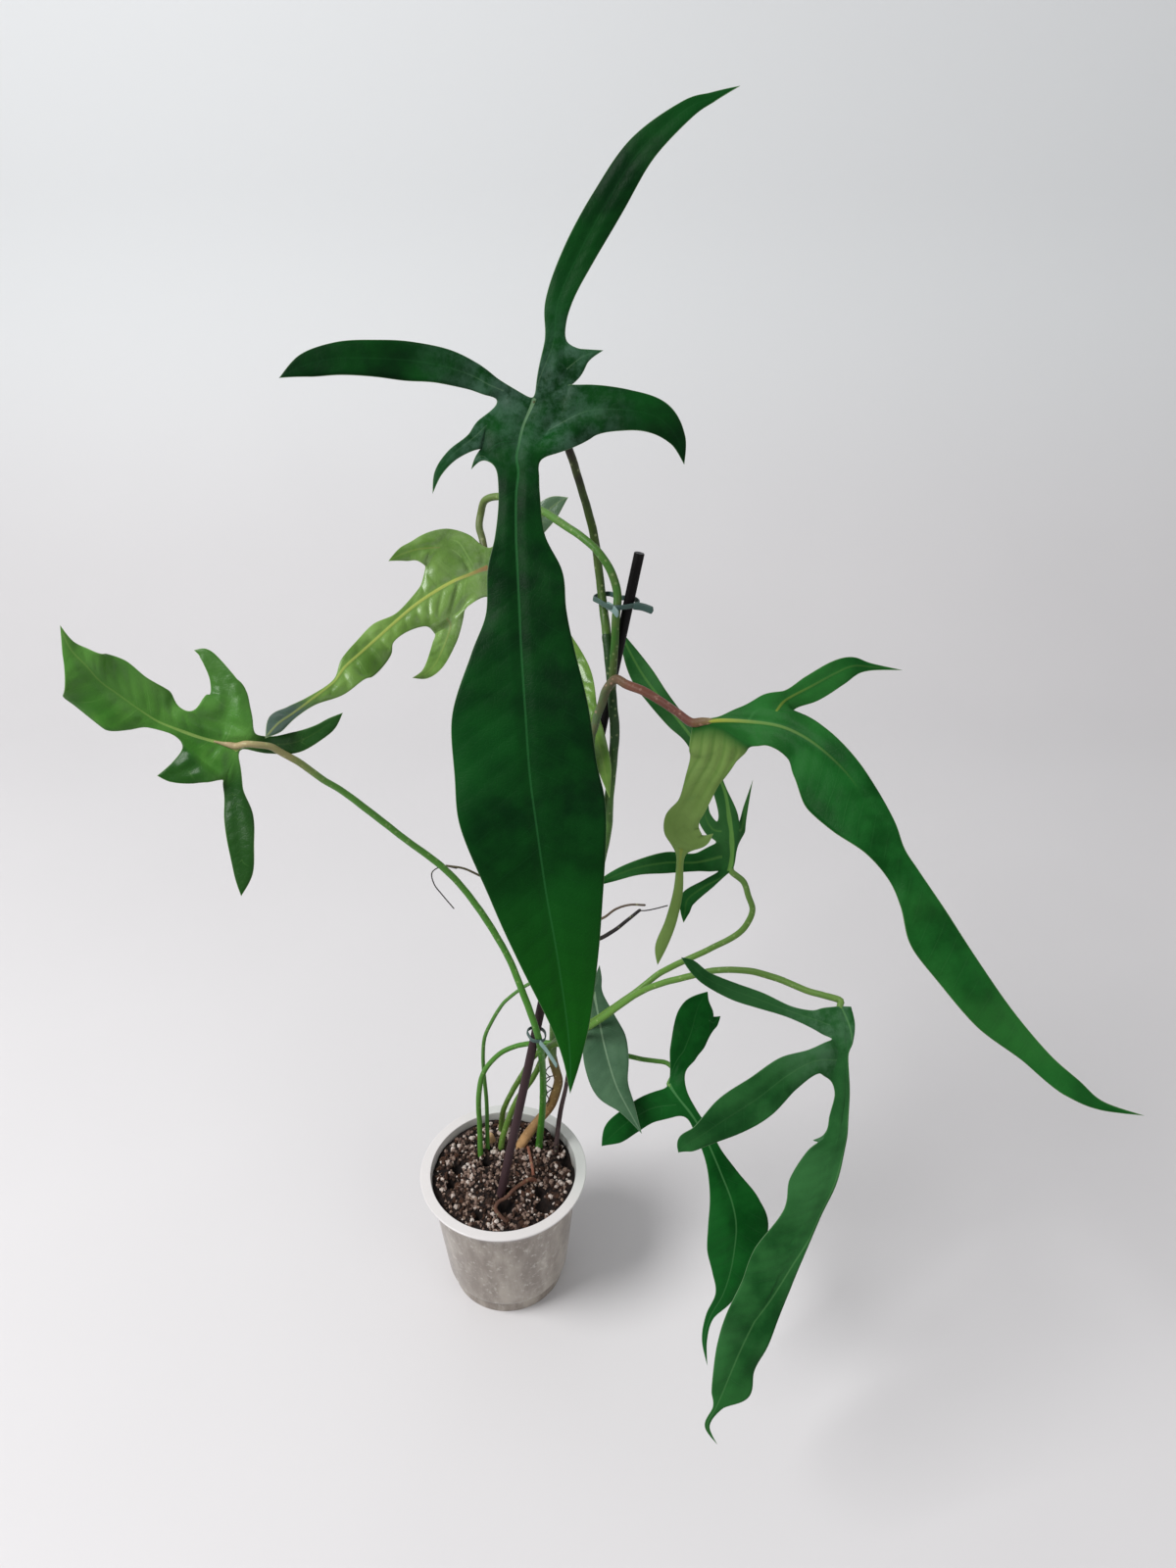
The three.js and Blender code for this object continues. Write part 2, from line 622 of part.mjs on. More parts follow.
function addLobe(points, faces, parent, lobe, face) {
  const edge = lobeEdge(parent, lobe);
  const start = new THREE.Vector3();
  edge.forEach((index) => start.addScaledVector(points[index], 1 / edge.length));
  const chord = points[edge[0]].distanceTo(points[edge[edge.length - 1]]);
  const ownRows = lobe.rows.map(fullRow);
  const rows = [[...start.toArray(), chord / 2, chord / 2, ...ownRows[0].slice(5)], ...ownRows];
  const grid = [edge];
  const count = (rows.length - 1) * cellsPerRow;
  for (let i = 1; i <= count; i += 1) {
    const s = i / cellsPerRow;
    const turn = THREE.MathUtils.smoothstep(s, 0, 1);
    const centre = new THREE.Vector3(...between(rows, s).slice(0, 3));
    const across = i === count ? [0] : edge.map((_, j) => 1 - (2 * j) / (edge.length - 1));
    grid.push(across.map((t, j) => {
      const carried = points[edge[j]].clone().add(centre).sub(start);
      const placed = i === count ? centre : bladePoint(rows, s, t, face);
      points.push(i === count ? placed : carried.lerp(placed, turn));
      return points.length - 1;
    }));
  }
  addGrid(faces, grid);
  (lobe.lobes || []).forEach((child) => addLobe(points, faces, grid, child, child.face || face));
}

// The middle surface of a whole leaf: the blade along the midrib, and then its lobes.
function leafSurface(leaf) {
  const rows = leaf.rows.map(fullRow);
  const points = [];
  const faces = [];
  const grid = [];
  const count = (rows.length - 1) * cellsPerRow;
  for (let i = 0; i <= count; i += 1) {
    const s = i / cellsPerRow;
    const across = Array.from({ length: 2 * cellsPerHalf + 1 }, (_, j) => 1 - j / cellsPerHalf);
    const places = i === count ? [0] : across;
    grid.push(places.map((t) => points.push(bladePoint(rows, s, t, leaf.face)) - 1));
  }
  addGrid(faces, grid);
  leaf.lobes.forEach((lobe) => addLobe(points, faces, grid, lobe, lobe.face || leaf.face));
  return { points, faces };
}

function geometryFrom(points, faces) {
  const geometry = new THREE.BufferGeometry();
  const numbers = points.flatMap((p) => [p.x, p.y, p.z]);
  geometry.setAttribute('position', new THREE.Float32BufferAttribute(numbers, 3));
  geometry.setIndex(faces.flat());
  return geometry;
}

// Gives a surface its thickness: an upper and a lower copy, and a wall along every open edge.
function thicken({ points, faces }, thickness) {
  const surface = geometryFrom(points, faces);
  surface.computeVertexNormals();
  const normals = surface.getAttribute('normal');
  const shifted = (side) => points.map((point, i) => {
    const normal = new THREE.Vector3().fromBufferAttribute(normals, i);
    return point.clone().addScaledVector(normal, (side * thickness) / 2);
  });
  const below = points.length;
  const edges = new Set(faces.flatMap(([a, b, c]) => [`${a} ${b}`, `${b} ${c}`, `${c} ${a}`]));
  const walls = [];
  edges.forEach((edge) => {
    const [a, b] = edge.split(' ').map(Number);
    if (!edges.has(`${b} ${a}`)) {
      walls.push([b, a, a + below], [b, a + below, b + below]);
    }
  });
  const under = faces.map(([a, b, c]) => [a + below, c + below, b + below]);
  return geometryFrom([...shifted(1), ...shifted(-1)], [...faces, ...under, ...walls]);
}

// A closed body through rings of points, with flat ends, or joined into a ring.
function loft(rings, closed = false) {
  const sides = rings[0].length;
  const faces = [];
  const count = closed ? rings.length : rings.length - 1;
  for (let i = 0; i < count; i += 1) {
    const [near, far] = [i * sides, ((i + 1) % rings.length) * sides];
    for (let j = 0; j < sides; j += 1) {
      const k = (j + 1) % sides;
      faces.push([near + j, near + k, far + j], [near + k, far + k, far + j]);
    }
  }
  if (!closed) {
    const end = (rings.length - 1) * sides;
    for (let j = 1; j < sides - 1; j += 1) {
      faces.push([0, j + 1, j], [end, end + j, end + j + 1]);
    }
  }
  return geometryFrom(rings.flat(), faces);
}

// A round stalk along a smooth route, with a radius that changes evenly from its foot to its end.
// The hole that it stands in is the same shape, larger all round and longer at both ends by extra.
function stalkGeometry(route, [firstRadius, lastRadius], extra = 0) {
  const curve = new THREE.CatmullRomCurve3(route.map((p) => new THREE.Vector3(...p)), false, 'centripetal');
  const sides = firstRadius > thinRadius ? 8 : 6;
  const steps = Math.max(3, Math.round(curve.getLength() / stalkStep));
  const frames = curve.computeFrenetFrames(steps, false);
  const rings = [];
  for (let i = 0; i <= steps; i += 1) {
    const centre = curve.getPointAt(i / steps);
    const beyond = i === 0 ? -extra : extra * (i === steps);
    centre.addScaledVector(frames.tangents[i], beyond);
    const radius = THREE.MathUtils.lerp(firstRadius, lastRadius, i / steps) + extra;
    rings.push(Array.from({ length: sides }, (_, j) => {
      const angle = (2 * Math.PI * j) / sides;
      return centre.clone()
        .addScaledVector(frames.normals[i], radius * Math.cos(angle))
        .addScaledVector(frames.binormals[i], radius * Math.sin(angle));
    }));
  }
  return loft(rings);
}

// Where a stalk ends: behind or in front of its leaf's first row, just clear of the blade. A stalk
// that comes along the blade keeps its whole radius clear, and one that meets it square only its end face.
function bladeSeat({ leaf, radii, inFront }, from) {
  const radius = radii[1];
  const rows = leaf.rows.map(fullRow);
  const { up } = bladeFrame(rows, 0, leaf.face);
  const seat = new THREE.Vector3(...rows[0].slice(0, 3));
  const slope = seat.clone().sub(new THREE.Vector3(...from)).normalize().dot(up);
  const clear = radius * Math.sqrt(1 - slope * slope) + bladeThickness / 2 + seatGap;
  return seat.addScaledVector(up, inFront ? clear : -clear).toArray();
}

function stalkRoute(stalk) {
  const last = stalk.route[stalk.route.length - 1];
  return stalk.leaf ? [...stalk.route, bladeSeat(stalk, last)] : stalk.route;
}

function toManifold(geometry) {
  const plain = geometry.clone();
  plain.deleteAttribute('normal');
  plain.deleteAttribute('uv');
  const merged = mergeVertices(plain, 1e-4);
  return new wasm.Manifold(new wasm.Mesh({
    numProp: 3,
    vertProperties: new Float32Array(merged.getAttribute('position').array),
    triVerts: new Uint32Array(merged.getIndex().array),
  }));
}

function fromManifold(solid) {
  const mesh = solid.getMesh();
  const geometry = new THREE.BufferGeometry();
  geometry.setAttribute('position', new THREE.Float32BufferAttribute(mesh.vertProperties, 3));
  geometry.setIndex(Array.from(mesh.triVerts));
  return geometry;
}

// A shape turned about the Z axis from a profile of [radius, height] pairs.
function turned(profile, sides) {
  const lathe = new THREE.LatheGeometry(profile.map(([r, z]) => new THREE.Vector2(r, z)), sides);
  return lathe.rotateX(Math.PI / 2);
}

function potGeometry() {
  const profile = [
    [0, 0], [footRadius, 0], [footRadius, footHeight], [stepRadius, stepHeight],
    [shoulderRadius, shoulderHeight], [mouthRadius + potWall, potHeight - rimThickness],
    [rimRadius, potHeight - rimThickness], [rimRadius, potHeight], [mouthRadius, potHeight],
    [shoulderRadius - potWall, shoulderHeight], [stepRadius - potWall, stepHeight],
    [footRadius - potWall, footHeight], [footRadius - potWall, potWall], [0, potWall],
  ];
  let pot = toManifold(turned(profile, potSides));
  for (let i = 0; i < drainCount; i += 1) {
    const angle = (2 * Math.PI * i) / drainCount;
    const drill = new THREE.CylinderGeometry(drainRadius, drainRadius, 4 * potWall, drainSides);
    drill.rotateX(Math.PI / 2).translate(drainRing * Math.cos(angle), drainRing * Math.sin(angle), 0);
    pot = pot.subtract(toManifold(drill));
  }
  return fromManifold(pot);
}

function soilGeometry(standing) {
  const inset = potWall + gap;
  const edgeRadius = shoulderRadius - inset - soilSlack;
  const profile = [
    [0, inset], [footRadius - inset, inset], [footRadius - inset, footHeight],
    [stepRadius - inset, stepHeight], [edgeRadius, soilEdgeHeight],
  ];
  for (let i = 1; i <= soilRings; i += 1) {
    const share = i / soilRings;
    const height = THREE.MathUtils.lerp(soilEdgeHeight, soilMiddleHeight, Math.sin((share * Math.PI) / 2));
    profile.push([edgeRadius * (1 - share), height]);
  }
  const geometry = turned(profile, potSides);
  const position = geometry.getAttribute('position');
  for (let i = 0; i < position.count; i += 1) {
    const [x, y, z] = [position.getX(i), position.getY(i), position.getZ(i)];
    if (z >= soilEdgeHeight - 1 && Math.hypot(x, y) > 1) {
      const crumbs = Math.sin(x / 3.1) * Math.cos(y / 2.7) + Math.sin((x + y) / 5.3);
      position.setZ(i, z + 0.5 * crumbHeight * crumbs);
    }
  }
  const whole = toManifold(geometry);
  return fromManifold(standing.reduce((soil, hole) => soil.subtract(toManifold(hole)), whole));
}

// A flat strap along a route. Across is the direction of its width.
function strap(route, closed, width, thickness, across, steps) {
  const curve = new THREE.CatmullRomCurve3(route.map((p) => new THREE.Vector3(...p)), closed, 'centripetal');
  const broad = new THREE.Vector3(...across).normalize();
  const rings = [];
  for (let i = 0; i < (closed ? steps : steps + 1); i += 1) {
    const centre = curve.getPointAt(i / steps);
    const out = broad.clone().cross(curve.getTangentAt(i / steps)).normalize();
    rings.push([[-1, -1], [1, -1], [1, 1], [-1, 1]].map(([a, b]) => centre.clone()
      .addScaledVector(out, (a * thickness) / 2)
      .addScaledVector(broad, (b * width) / 2)));
  }
  return toManifold(loft(rings, closed));
}

const stakeAlong = stakeTop.map((end, axis) => end - stakeFoot[axis]);

function tieUpperGeometry() {
  const loop = strap([
    [64.5, 70, 526], [67, 64, 527], [75, 50.5, 529], [84, 49.6, 530], [90, 54, 530], [87, 60.5, 530],
    [80, 63, 529.5], [73, 74, 527], [67, 75, 525.5],
  ], true, 3, 0.9, stakeAlong, 36);
  const tail = strap([[86.5, 50.8, 530], [92, 49, 530], [98, 46, 529]], false, 4.4, 1, stakeAlong, 3);
  const tabRoute = [[71.5, 56.5, 528], [75.2, 50.4, 528.4], [78.5, 46.5, 526]];
  const tab = strap(tabRoute, false, 4.4, 1, stakeAlong, 3);
  return fromManifold(loop.add(tail).add(tab));
}

function tieLowerGeometry() {
  const loop = strap([
    [22.5, -0.5, 243], [24.5, -5, 244.5], [28.5, -6, 244.5], [32, -4, 243.5], [33, 1, 242.5], [31, 8, 241],
    [26, 10.5, 241], [22, 8, 242], [20.8, 4, 243],
  ], true, 2.6, 0.9, stakeAlong, 28);
  const tailRoute = [[29, -5.8, 244.2], [33, -9, 241], [37, -13, 237], [41, -16.5, 232]];
  const tail = strap(tailRoute, false, 3.6, 1, stakeAlong, 4);
  return fromManifold(loop.add(tail));
}

const plant = new THREE.Group();
plant.name = 'potted_philodendron';

function addPiece(name, geometry, colour, roughness) {
  const mesh = new THREE.Mesh(geometry, material(colour, roughness));
  mesh.name = name;
  plant.add(mesh);
}

const stakeRadii = [stakeRadius, stakeRadius];
const standing = stalks
  .filter((stalk) => stalk.route[0][2] < soilEdgeHeight || stalk.name === 'root_loop')
  .map((stalk) => stalkGeometry(stalkRoute(stalk), stalk.radii, gap));
standing.push(stalkGeometry([stakeFoot, stakeTop], stakeRadii, gap));

addPiece('pot', potGeometry(), colours.potClear, 0.35);
addPiece('soil', soilGeometry(standing), colours.soilBrown, 0.95);
addPiece('stake', stalkGeometry([stakeFoot, stakeTop], stakeRadii), colours.stakeBlack, 0.5);
addPiece('tie_upper', tieUpperGeometry(), colours.tieGrey, 0.5);
addPiece('tie_lower', tieLowerGeometry(), colours.tieGrey, 0.5);
stalks.forEach((stalk) => {
  addPiece(stalk.name, stalkGeometry(stalkRoute(stalk), stalk.radii), stalk.colour, 0.55);
});
const leaves = [
  leafTop, leafLeftMiddle, leafLeftLow, leafRightLarge, leafRightBack, leafRightHanging, leafLowMiddle,
  leafLowGrey,
];
leaves.forEach((leaf) => {
  addPiece(leaf.name, thicken(leafSurface(leaf), bladeThickness), leaf.colour, 0.4);
});

export default plant;
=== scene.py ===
import math

import bpy
import numpy as np
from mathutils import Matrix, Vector


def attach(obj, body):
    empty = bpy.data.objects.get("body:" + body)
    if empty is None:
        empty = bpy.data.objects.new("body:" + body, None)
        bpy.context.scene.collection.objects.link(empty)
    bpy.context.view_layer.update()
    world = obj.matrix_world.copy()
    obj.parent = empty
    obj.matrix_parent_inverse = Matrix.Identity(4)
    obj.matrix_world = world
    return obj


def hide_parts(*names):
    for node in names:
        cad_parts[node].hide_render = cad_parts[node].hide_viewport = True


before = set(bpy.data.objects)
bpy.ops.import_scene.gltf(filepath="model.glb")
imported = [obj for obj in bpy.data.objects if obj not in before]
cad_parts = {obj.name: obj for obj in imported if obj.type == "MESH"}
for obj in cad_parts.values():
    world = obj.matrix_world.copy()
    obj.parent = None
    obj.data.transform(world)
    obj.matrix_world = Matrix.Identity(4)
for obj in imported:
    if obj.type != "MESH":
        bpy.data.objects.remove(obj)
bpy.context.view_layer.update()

# A potted climbing philodendron. Tables are in millimetres, as the solids are; meshes are in metres.
mm = 0.001
viewerSide = (0.0, -0.84, 0.55)


# Numbers and curves

def unit(vectors):
    # each vector divided by its own length
    return vectors / np.maximum(np.linalg.norm(vectors, axis=-1, keepdims=True), 1e-12)


def smoothStep(low, high, value):
    # 0 below low, 1 above high, and the cubic 3x^2 - 2x^3 between them
    x = np.clip((value - low) / (high - low), 0, 1)
    return x * x * (3 - 2 * x)


def roundAngles(sides):
    return np.arange(sides) * 2 * math.pi / sides


def lengthAlong(points):
    # distance from the first point to each one, measured along the line
    return np.concatenate([[0], np.cumsum(np.linalg.norm(np.diff(points, axis=0), axis=1))])


def rowsBetween(rows, s):
    # Catmull-Rom curve through the rows, one row per unit of s
    last = len(rows) - 1
    i = np.minimum(np.floor(s).astype(int), last - 1)
    f = (s - i)[:, None]
    a, b, c, d = (rows[np.clip(i + k, 0, last)] for k in (-1, 0, 1, 2))
    return b + 0.5 * f * (c - a + f * (2 * a - 5 * b + 4 * c - d + f * (3 * (b - c) + d - a)))


def smoothRoute(points, step, closed=False):
    # centripetal Catmull-Rom curve: knots lie the square root of each chord apart, and the points
    # come from three rounds of straight mixing; the curve is then resampled every step along its length
    p = np.array(points, float)
    if closed:
        p = np.vstack([p[-1:], p, p[:2]])
    else:
        p = np.vstack([2 * p[:1] - p[1:2], p, 2 * p[-1:] - p[-2:-1]])
    chords = np.linalg.norm(np.diff(p, axis=0), axis=1)
    knots = np.concatenate([[0], np.cumsum(chords ** 0.5)])
    spans, perSpan = len(p) - 3, 24
    k = np.append(np.repeat(np.arange(spans), perSpan), spans - 1)
    f = np.append(np.tile(np.arange(perSpan) / perSpan, spans), 1.0)
    t = (knots[k + 1] + f * (knots[k + 2] - knots[k + 1]))[:, None]
    near = [knots[k + i][:, None] for i in range(4)]
    level = [p[k + i] for i in range(4)]
    for width in (1, 2, 3):
        level = [mixKnots(level[i], level[i + 1], near, t, i, width) for i in range(4 - width)]
    line = level[0]
    reach = lengthAlong(line)
    count = max(4, int(round(reach[-1] / step)))
    even = np.linspace(0, reach[-1], count + 1)
    return np.stack([np.interp(even, reach, line[:, axis]) for axis in range(3)], axis=1), reach[-1]


def mixKnots(first, second, knots, t, i, width):
    # one round of mixing: the first spans neighbours, the second two chords and the last the middle one
    start = knots[i] if width < 3 else knots[1]
    end = knots[i + width] if width < 3 else knots[2]
    return ((end - t) * first + (t - start) * second) / (end - start)


# Meshes

def makeObject(name, points, groups, materials, nodes, smooth=True):
    # points in metres; a group of faces is (corner array, material number, {attribute: corner values})
    mesh = bpy.data.meshes.new(name)
    mesh.vertices.add(len(points))
    mesh.vertices.foreach_set("co", np.asarray(points, np.float32).ravel())
    corners = np.concatenate([faces.ravel() for faces, _, _ in groups])
    totals = np.concatenate([np.full(len(faces), faces.shape[1]) for faces, _, _ in groups])
    numbers = np.concatenate([np.full(len(faces), number) for faces, number, _ in groups])
    starts = np.concatenate([[0], np.cumsum(totals)[:-1]])
    mesh.loops.add(len(corners))
    mesh.loops.foreach_set("vertex_index", corners.astype(np.int32))
    mesh.polygons.add(len(totals))
    mesh.polygons.foreach_set("loop_start", starts.astype(np.int32))
    for material in materials:
        mesh.materials.append(material)
    mesh.polygons.foreach_set("material_index", numbers.astype(np.int32))
    mesh.polygons.foreach_set("use_smooth", np.full(len(totals), smooth))
    mesh.update(calc_edges=True)
    for key in groups[0][2]:
        values = np.concatenate([fields[key].reshape(-1, 3) for _, _, fields in groups])
        layer = mesh.attributes.new(key, "FLOAT_VECTOR", "CORNER")
        layer.data.foreach_set("vector", values.astype(np.float32).ravel())
    piece = bpy.data.objects.new(name, mesh)
    bpy.context.scene.collection.objects.link(piece)
    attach(piece, "root")
    if nodes:
        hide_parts(*nodes)
    return piece


def makeShell(name, points, parts, material, nodes=(), smooth=True):
    # a piece in one material: points in millimetres, and a list of face arrays
    groups = [(faces, 0, {}) for faces in parts]
    return makeObject(name, points * mm, groups, [material], nodes, smooth)


def pointAttribute(piece, name, values):
    layer = piece.data.attributes.new(name, "FLOAT", "POINT")
    layer.data.foreach_set("value", values.astype(np.float32))


def ringFaces(rings, sides):
    # quads between closed rings of points
    i, j = np.meshgrid(np.arange(rings - 1), np.arange(sides), indexing="ij")
    k = (j + 1) % sides
    corners = [i * sides + j, i * sides + k, (i + 1) * sides + k, (i + 1) * sides + j]
    return np.stack(corners, -1).reshape(-1, 4)


def poleFaces(rings, sides):
    # triangles from the first and the last ring to the two poles, which are the points after the rings
    j = np.arange(sides)
    k = (j + 1) % sides
    first = np.full(sides, rings * sides)
    last = (rings - 1) * sides
    return np.vstack([np.stack([first, k, j], 1), np.stack([first + 1, last + j, last + k], 1)])


def carriedFrames(line):
    # two directions across a line, turned as little as possible from one station to the next
    along = unit(np.gradient(line, axis=0))
    first = np.cross(along[0], (0.0, 0.0, 1.0) if abs(along[0][2]) < 0.9 else (1.0, 0.0, 0.0))
    across = [first / np.linalg.norm(first)]
    for tangent in along[1:]:
        turned = across[-1] - tangent * np.dot(across[-1], tangent)
        across.append(turned / np.linalg.norm(turned))
    across = np.array(across)
    return across, np.cross(along, across)


def roundEnds(line, radius, count=5):
    # half-round ends: rings at sin and cos of a quarter turn, beyond the first and last station
    turn = np.linspace(0, math.pi / 2, count + 1)[1:]
    first = unit(line[0] - line[1])
    last = unit(line[-1] - line[-2])
    head = line[0] + first * (radius[0] * np.sin(turn[::-1]))[:, None]
    tail = line[-1] + last * (radius[-1] * np.sin(turn))[:, None]
    small = 1e-3
    headRadius = np.maximum(radius[0] * np.cos(turn[::-1]), small)
    tailRadius = np.maximum(radius[-1] * np.cos(turn), small)
    return np.vstack([head, line, tail]), np.concatenate([headRadius, radius, tailRadius])


def tubeShell(line, radius, sides, relief=None):
    # a circle of the given radius carried along the line; relief(angle, reach) is added to the radius
    line, radius = roundEnds(line, radius)
    across, other = carriedFrames(line)
    angle = roundAngles(sides)
    reach = lengthAlong(line)
    full = radius[:, None] + np.zeros((1, sides))
    if relief is not None:
        full = full + relief(angle[None, :], reach[:, None]) * smoothStep(0, 1, radius[:, None])
    ring = across[:, None, :] * np.cos(angle)[None, :, None]
    ring = ring + other[:, None, :] * np.sin(angle)[None, :, None]
    points = line[:, None, :] + ring * full[:, :, None]
    poles = np.array([points[0].mean(0), points[-1].mean(0)])
    faces = [ringFaces(len(line), sides), poleFaces(len(line), sides)]
    shares = np.concatenate([np.repeat(reach / reach[-1], sides), [0, 1]])
    return np.vstack([points.reshape(-1, 3), poles]), faces, shares


# Node trees

def newMaterial(name):
    material = bpy.data.materials.new(name)
    material.use_nodes = True
    tree = material.node_tree
    tree.nodes.clear()
    return material, tree


def addNode(tree, kind, values=None, **settings):
    # one shader node: settings are its properties, values its sockets, set or linked
    node = tree.nodes.new(kind)
    for key, value in settings.items():
        setattr(node, key, value)
    for key, value in (values or {}).items():
        if isinstance(value, bpy.types.NodeSocket):
            tree.links.new(value, node.inputs[key])
        else:
            node.inputs[key].default_value = value
    return node


def colour(hexText):
    # sRGB hex digits to linear light: c/12.92 below 0.04045, else ((c + 0.055)/1.055)^2.4
    values = [int(hexText[i:i + 2], 16) / 255 for i in (0, 2, 4)]
    return tuple(c / 12.92 if c <= 0.04045 else ((c + 0.055) / 1.055) ** 2.4 for c in values) + (1.0,)


def mixColours(tree, factor, first, second):
    # a colour is a socket or hex digits
    first, second = (colour(value) if isinstance(value, str) else value for value in (first, second))
    return addNode(tree, "ShaderNodeMix", {0: factor, 6: first, 7: second}, data_type="RGBA").outputs[2]


def calculate(tree, operation, first, second=0.0):
    return addNode(tree, "ShaderNodeMath", {0: first, 1: second}, operation=operation).outputs[0]


def multiply(tree, *factors):
    product = factors[0]
    for factor in factors[1:]:
        product = calculate(tree, "MULTIPLY", product, factor)
    return product


def multiplyAdd(tree, value, factor, addend):
    values = {0: value, 1: factor, 2: addend}
    return addNode(tree, "ShaderNodeMath", values, operation="MULTIPLY_ADD").outputs[0]


def ease(tree, value, low, high):
    # 0 below low and 1 above high, or the other way round where low is the larger
    if low < high:
        values = {0: value, 1: low, 2: high, 3: 0.0, 4: 1.0}
    else:
        values = {0: value, 1: high, 2: low, 3: 1.0, 4: 0.0}
    return addNode(tree, "ShaderNodeMapRange", values, interpolation_type="SMOOTHSTEP").outputs[0]


def objectPlace(tree):
    return addNode(tree, "ShaderNodeTexCoord").outputs["Object"]


def partsOf(tree, vector):
    return addNode(tree, "ShaderNodeSeparateXYZ", {0: vector}).outputs


def attributeValue(tree, name, output="Fac"):
    return addNode(tree, "ShaderNodeAttribute", attribute_name=name).outputs[output]


def noise(tree, scale, detail=3.0, roughness=0.55, vector=None):
    values = {"Vector": vector or objectPlace(tree), "Scale": scale, "Detail": detail}
    values["Roughness"] = roughness
    return addNode(tree, "ShaderNodeTexNoise", values).outputs["Fac"]


def cellDistance(tree, scale, feature="F1"):
    # distance to the middle of the nearest random cell, or to its edge
    values = {"Vector": objectPlace(tree), "Scale": scale}
    return addNode(tree, "ShaderNodeTexVoronoi", values, feature=feature).outputs["Distance"]


def bumpOf(tree, height, strength, distance):
    values = {"Height": height, "Strength": strength, "Distance": distance}
    return addNode(tree, "ShaderNodeBump", values).outputs[0]


def skinShader(tree, base, rough, gloss, normal=None, coat=0.0, coatRough=0.03):
    # numbers that are the same all over go straight on the sockets
    values = {"Base Color": base, "Roughness": rough, "Specular IOR Level": gloss}
    values.update({"Coat Weight": coat, "Coat Roughness": coatRough})
    if normal is not None:
        values["Normal"] = normal
    return addNode(tree, "ShaderNodeBsdfPrincipled", values).outputs[0]


def finish(tree, shader):
    addNode(tree, "ShaderNodeOutputMaterial", {"Surface": shader})


# Blades

bladeLook = {
    "cell": 1.0,            # length of one mesh cell along the blade
    "column": 1.7,          # width of one cell across it, at the widest place
    "spread": 1.35,         # how much closer the columns lie near the midrib
    "thickness": 0.75,
    "marginShare": 0.34,    # thickness at the margin, as a share
    "marginWidth": 1.4,
    "waveHeight": 1.6,
    "waveRows": 2.6,
    "waveShift": 1.9,       # how far the right margin's wave runs ahead of the left one's
    "sinusReach": 5.0,      # how far round a sinus the outline is smoothed
    "sinusRounds": 60,
    "calmReach": 6.0,       # how far from a lobe's joint the veins and swellings fade
    "pleat": 0.3,           # height of the lengthwise pleats where a table marks them
    "pleatWidth": 6.0,
}


def paddedRows(rows):
    # a row is x, y, z of the midrib, the width to its left and right, and how far each margin sweeps ahead
    return np.array([list(row) + [0] * (7 - len(row)) for row in rows], float)


def stations(rows, cell):
    # values of s: each row interval is cut in a multiple of four cells of about the given length
    lengths = np.linalg.norm(np.diff(rows[:, :3], axis=0), axis=1)
    counts = np.maximum(4 * np.ceil(lengths / (4 * cell)).astype(int), 8)
    parts = [i + np.arange(count) / count for i, count in enumerate(counts)]
    return np.append(np.concatenate(parts), len(rows) - 1.0)


def bladeFrame(rows, s):
    # along the midrib, out of the upper face, which looks to the viewer, and to the left
    ahead = rowsBetween(rows, np.minimum(s + 0.05, len(rows) - 1))
    behind = rowsBetween(rows, np.maximum(s - 0.05, 0))
    along = unit(ahead[:, :3] - behind[:, :3])
    face = np.array(viewerSide)
    up = unit(face - along * (along @ face)[:, None])
    return along, up, np.cross(up, along)


def bladePoints(rows, s, t):
    # centre + left t width + along |t| sweep + up wave, where the wave is a sine along the blade times
    # t^2; t is 1 at the left margin and -1 at the right one
    row = rowsBetween(rows, s)
    along, up, left = bladeFrame(rows, s)
    onLeft = t > 0
    width = np.maximum(np.where(onLeft, row[:, 3:4], row[:, 4:5]), 0)
    sweep = np.where(onLeft, row[:, 5:6], row[:, 6:7])
    phase = np.where(onLeft, 0, bladeLook["waveShift"])
    wave = bladeLook["waveHeight"] * t * t * np.minimum(width / 12, 1)
    wave = wave * np.sin(2 * math.pi * s[:, None] / bladeLook["waveRows"] + phase)
    points = row[:, None, :3] + left[:, None, :] * (t * width)[:, :, None]
    points = points + along[:, None, :] * (np.abs(t) * sweep)[:, :, None]
    return points + up[:, None, :] * wave[:, :, None], width


class Sheet:
    # the middle surface of a leaf while it grows: points, strips of cells, and what is known at each corner

    def __init__(self):
        self.points = []
        self.count = 0
        self.quads = []
        self.quadFields = []
        self.tris = []
        self.triFields = []
        self.sinuses = []
        self.joints = []

    def add(self, points):
        numbers = np.arange(len(points)) + self.count
        self.points.append(points)
        self.count += len(points)
        return numbers

    def all(self):
        return np.concatenate(self.points)

    def strips(self, grid, fields):
        # grid is rows of point numbers; its last row is one tip repeated
        i, j = np.meshgrid(np.arange(len(grid) - 2), np.arange(grid.shape[1] - 1), indexing="ij")
        corners = [(i, j), (i, j + 1), (i + 1, j + 1), (i + 1, j)]
        self.quads.append(np.stack([grid[c] for c in corners], -1).reshape(-1, 4))
        self.quadFields.append(np.stack([fields[c] for c in corners], -2).reshape(-1, 4, fields.shape[-1]))
        j = np.arange(grid.shape[1] - 1)
        last = len(grid) - 1
        corners = [(last - 1, j), (last - 1, j + 1), (last, j)]
        self.tris.append(np.stack([grid[c] for c in corners], -1))
        self.triFields.append(np.stack([fields[c] for c in corners], -2))


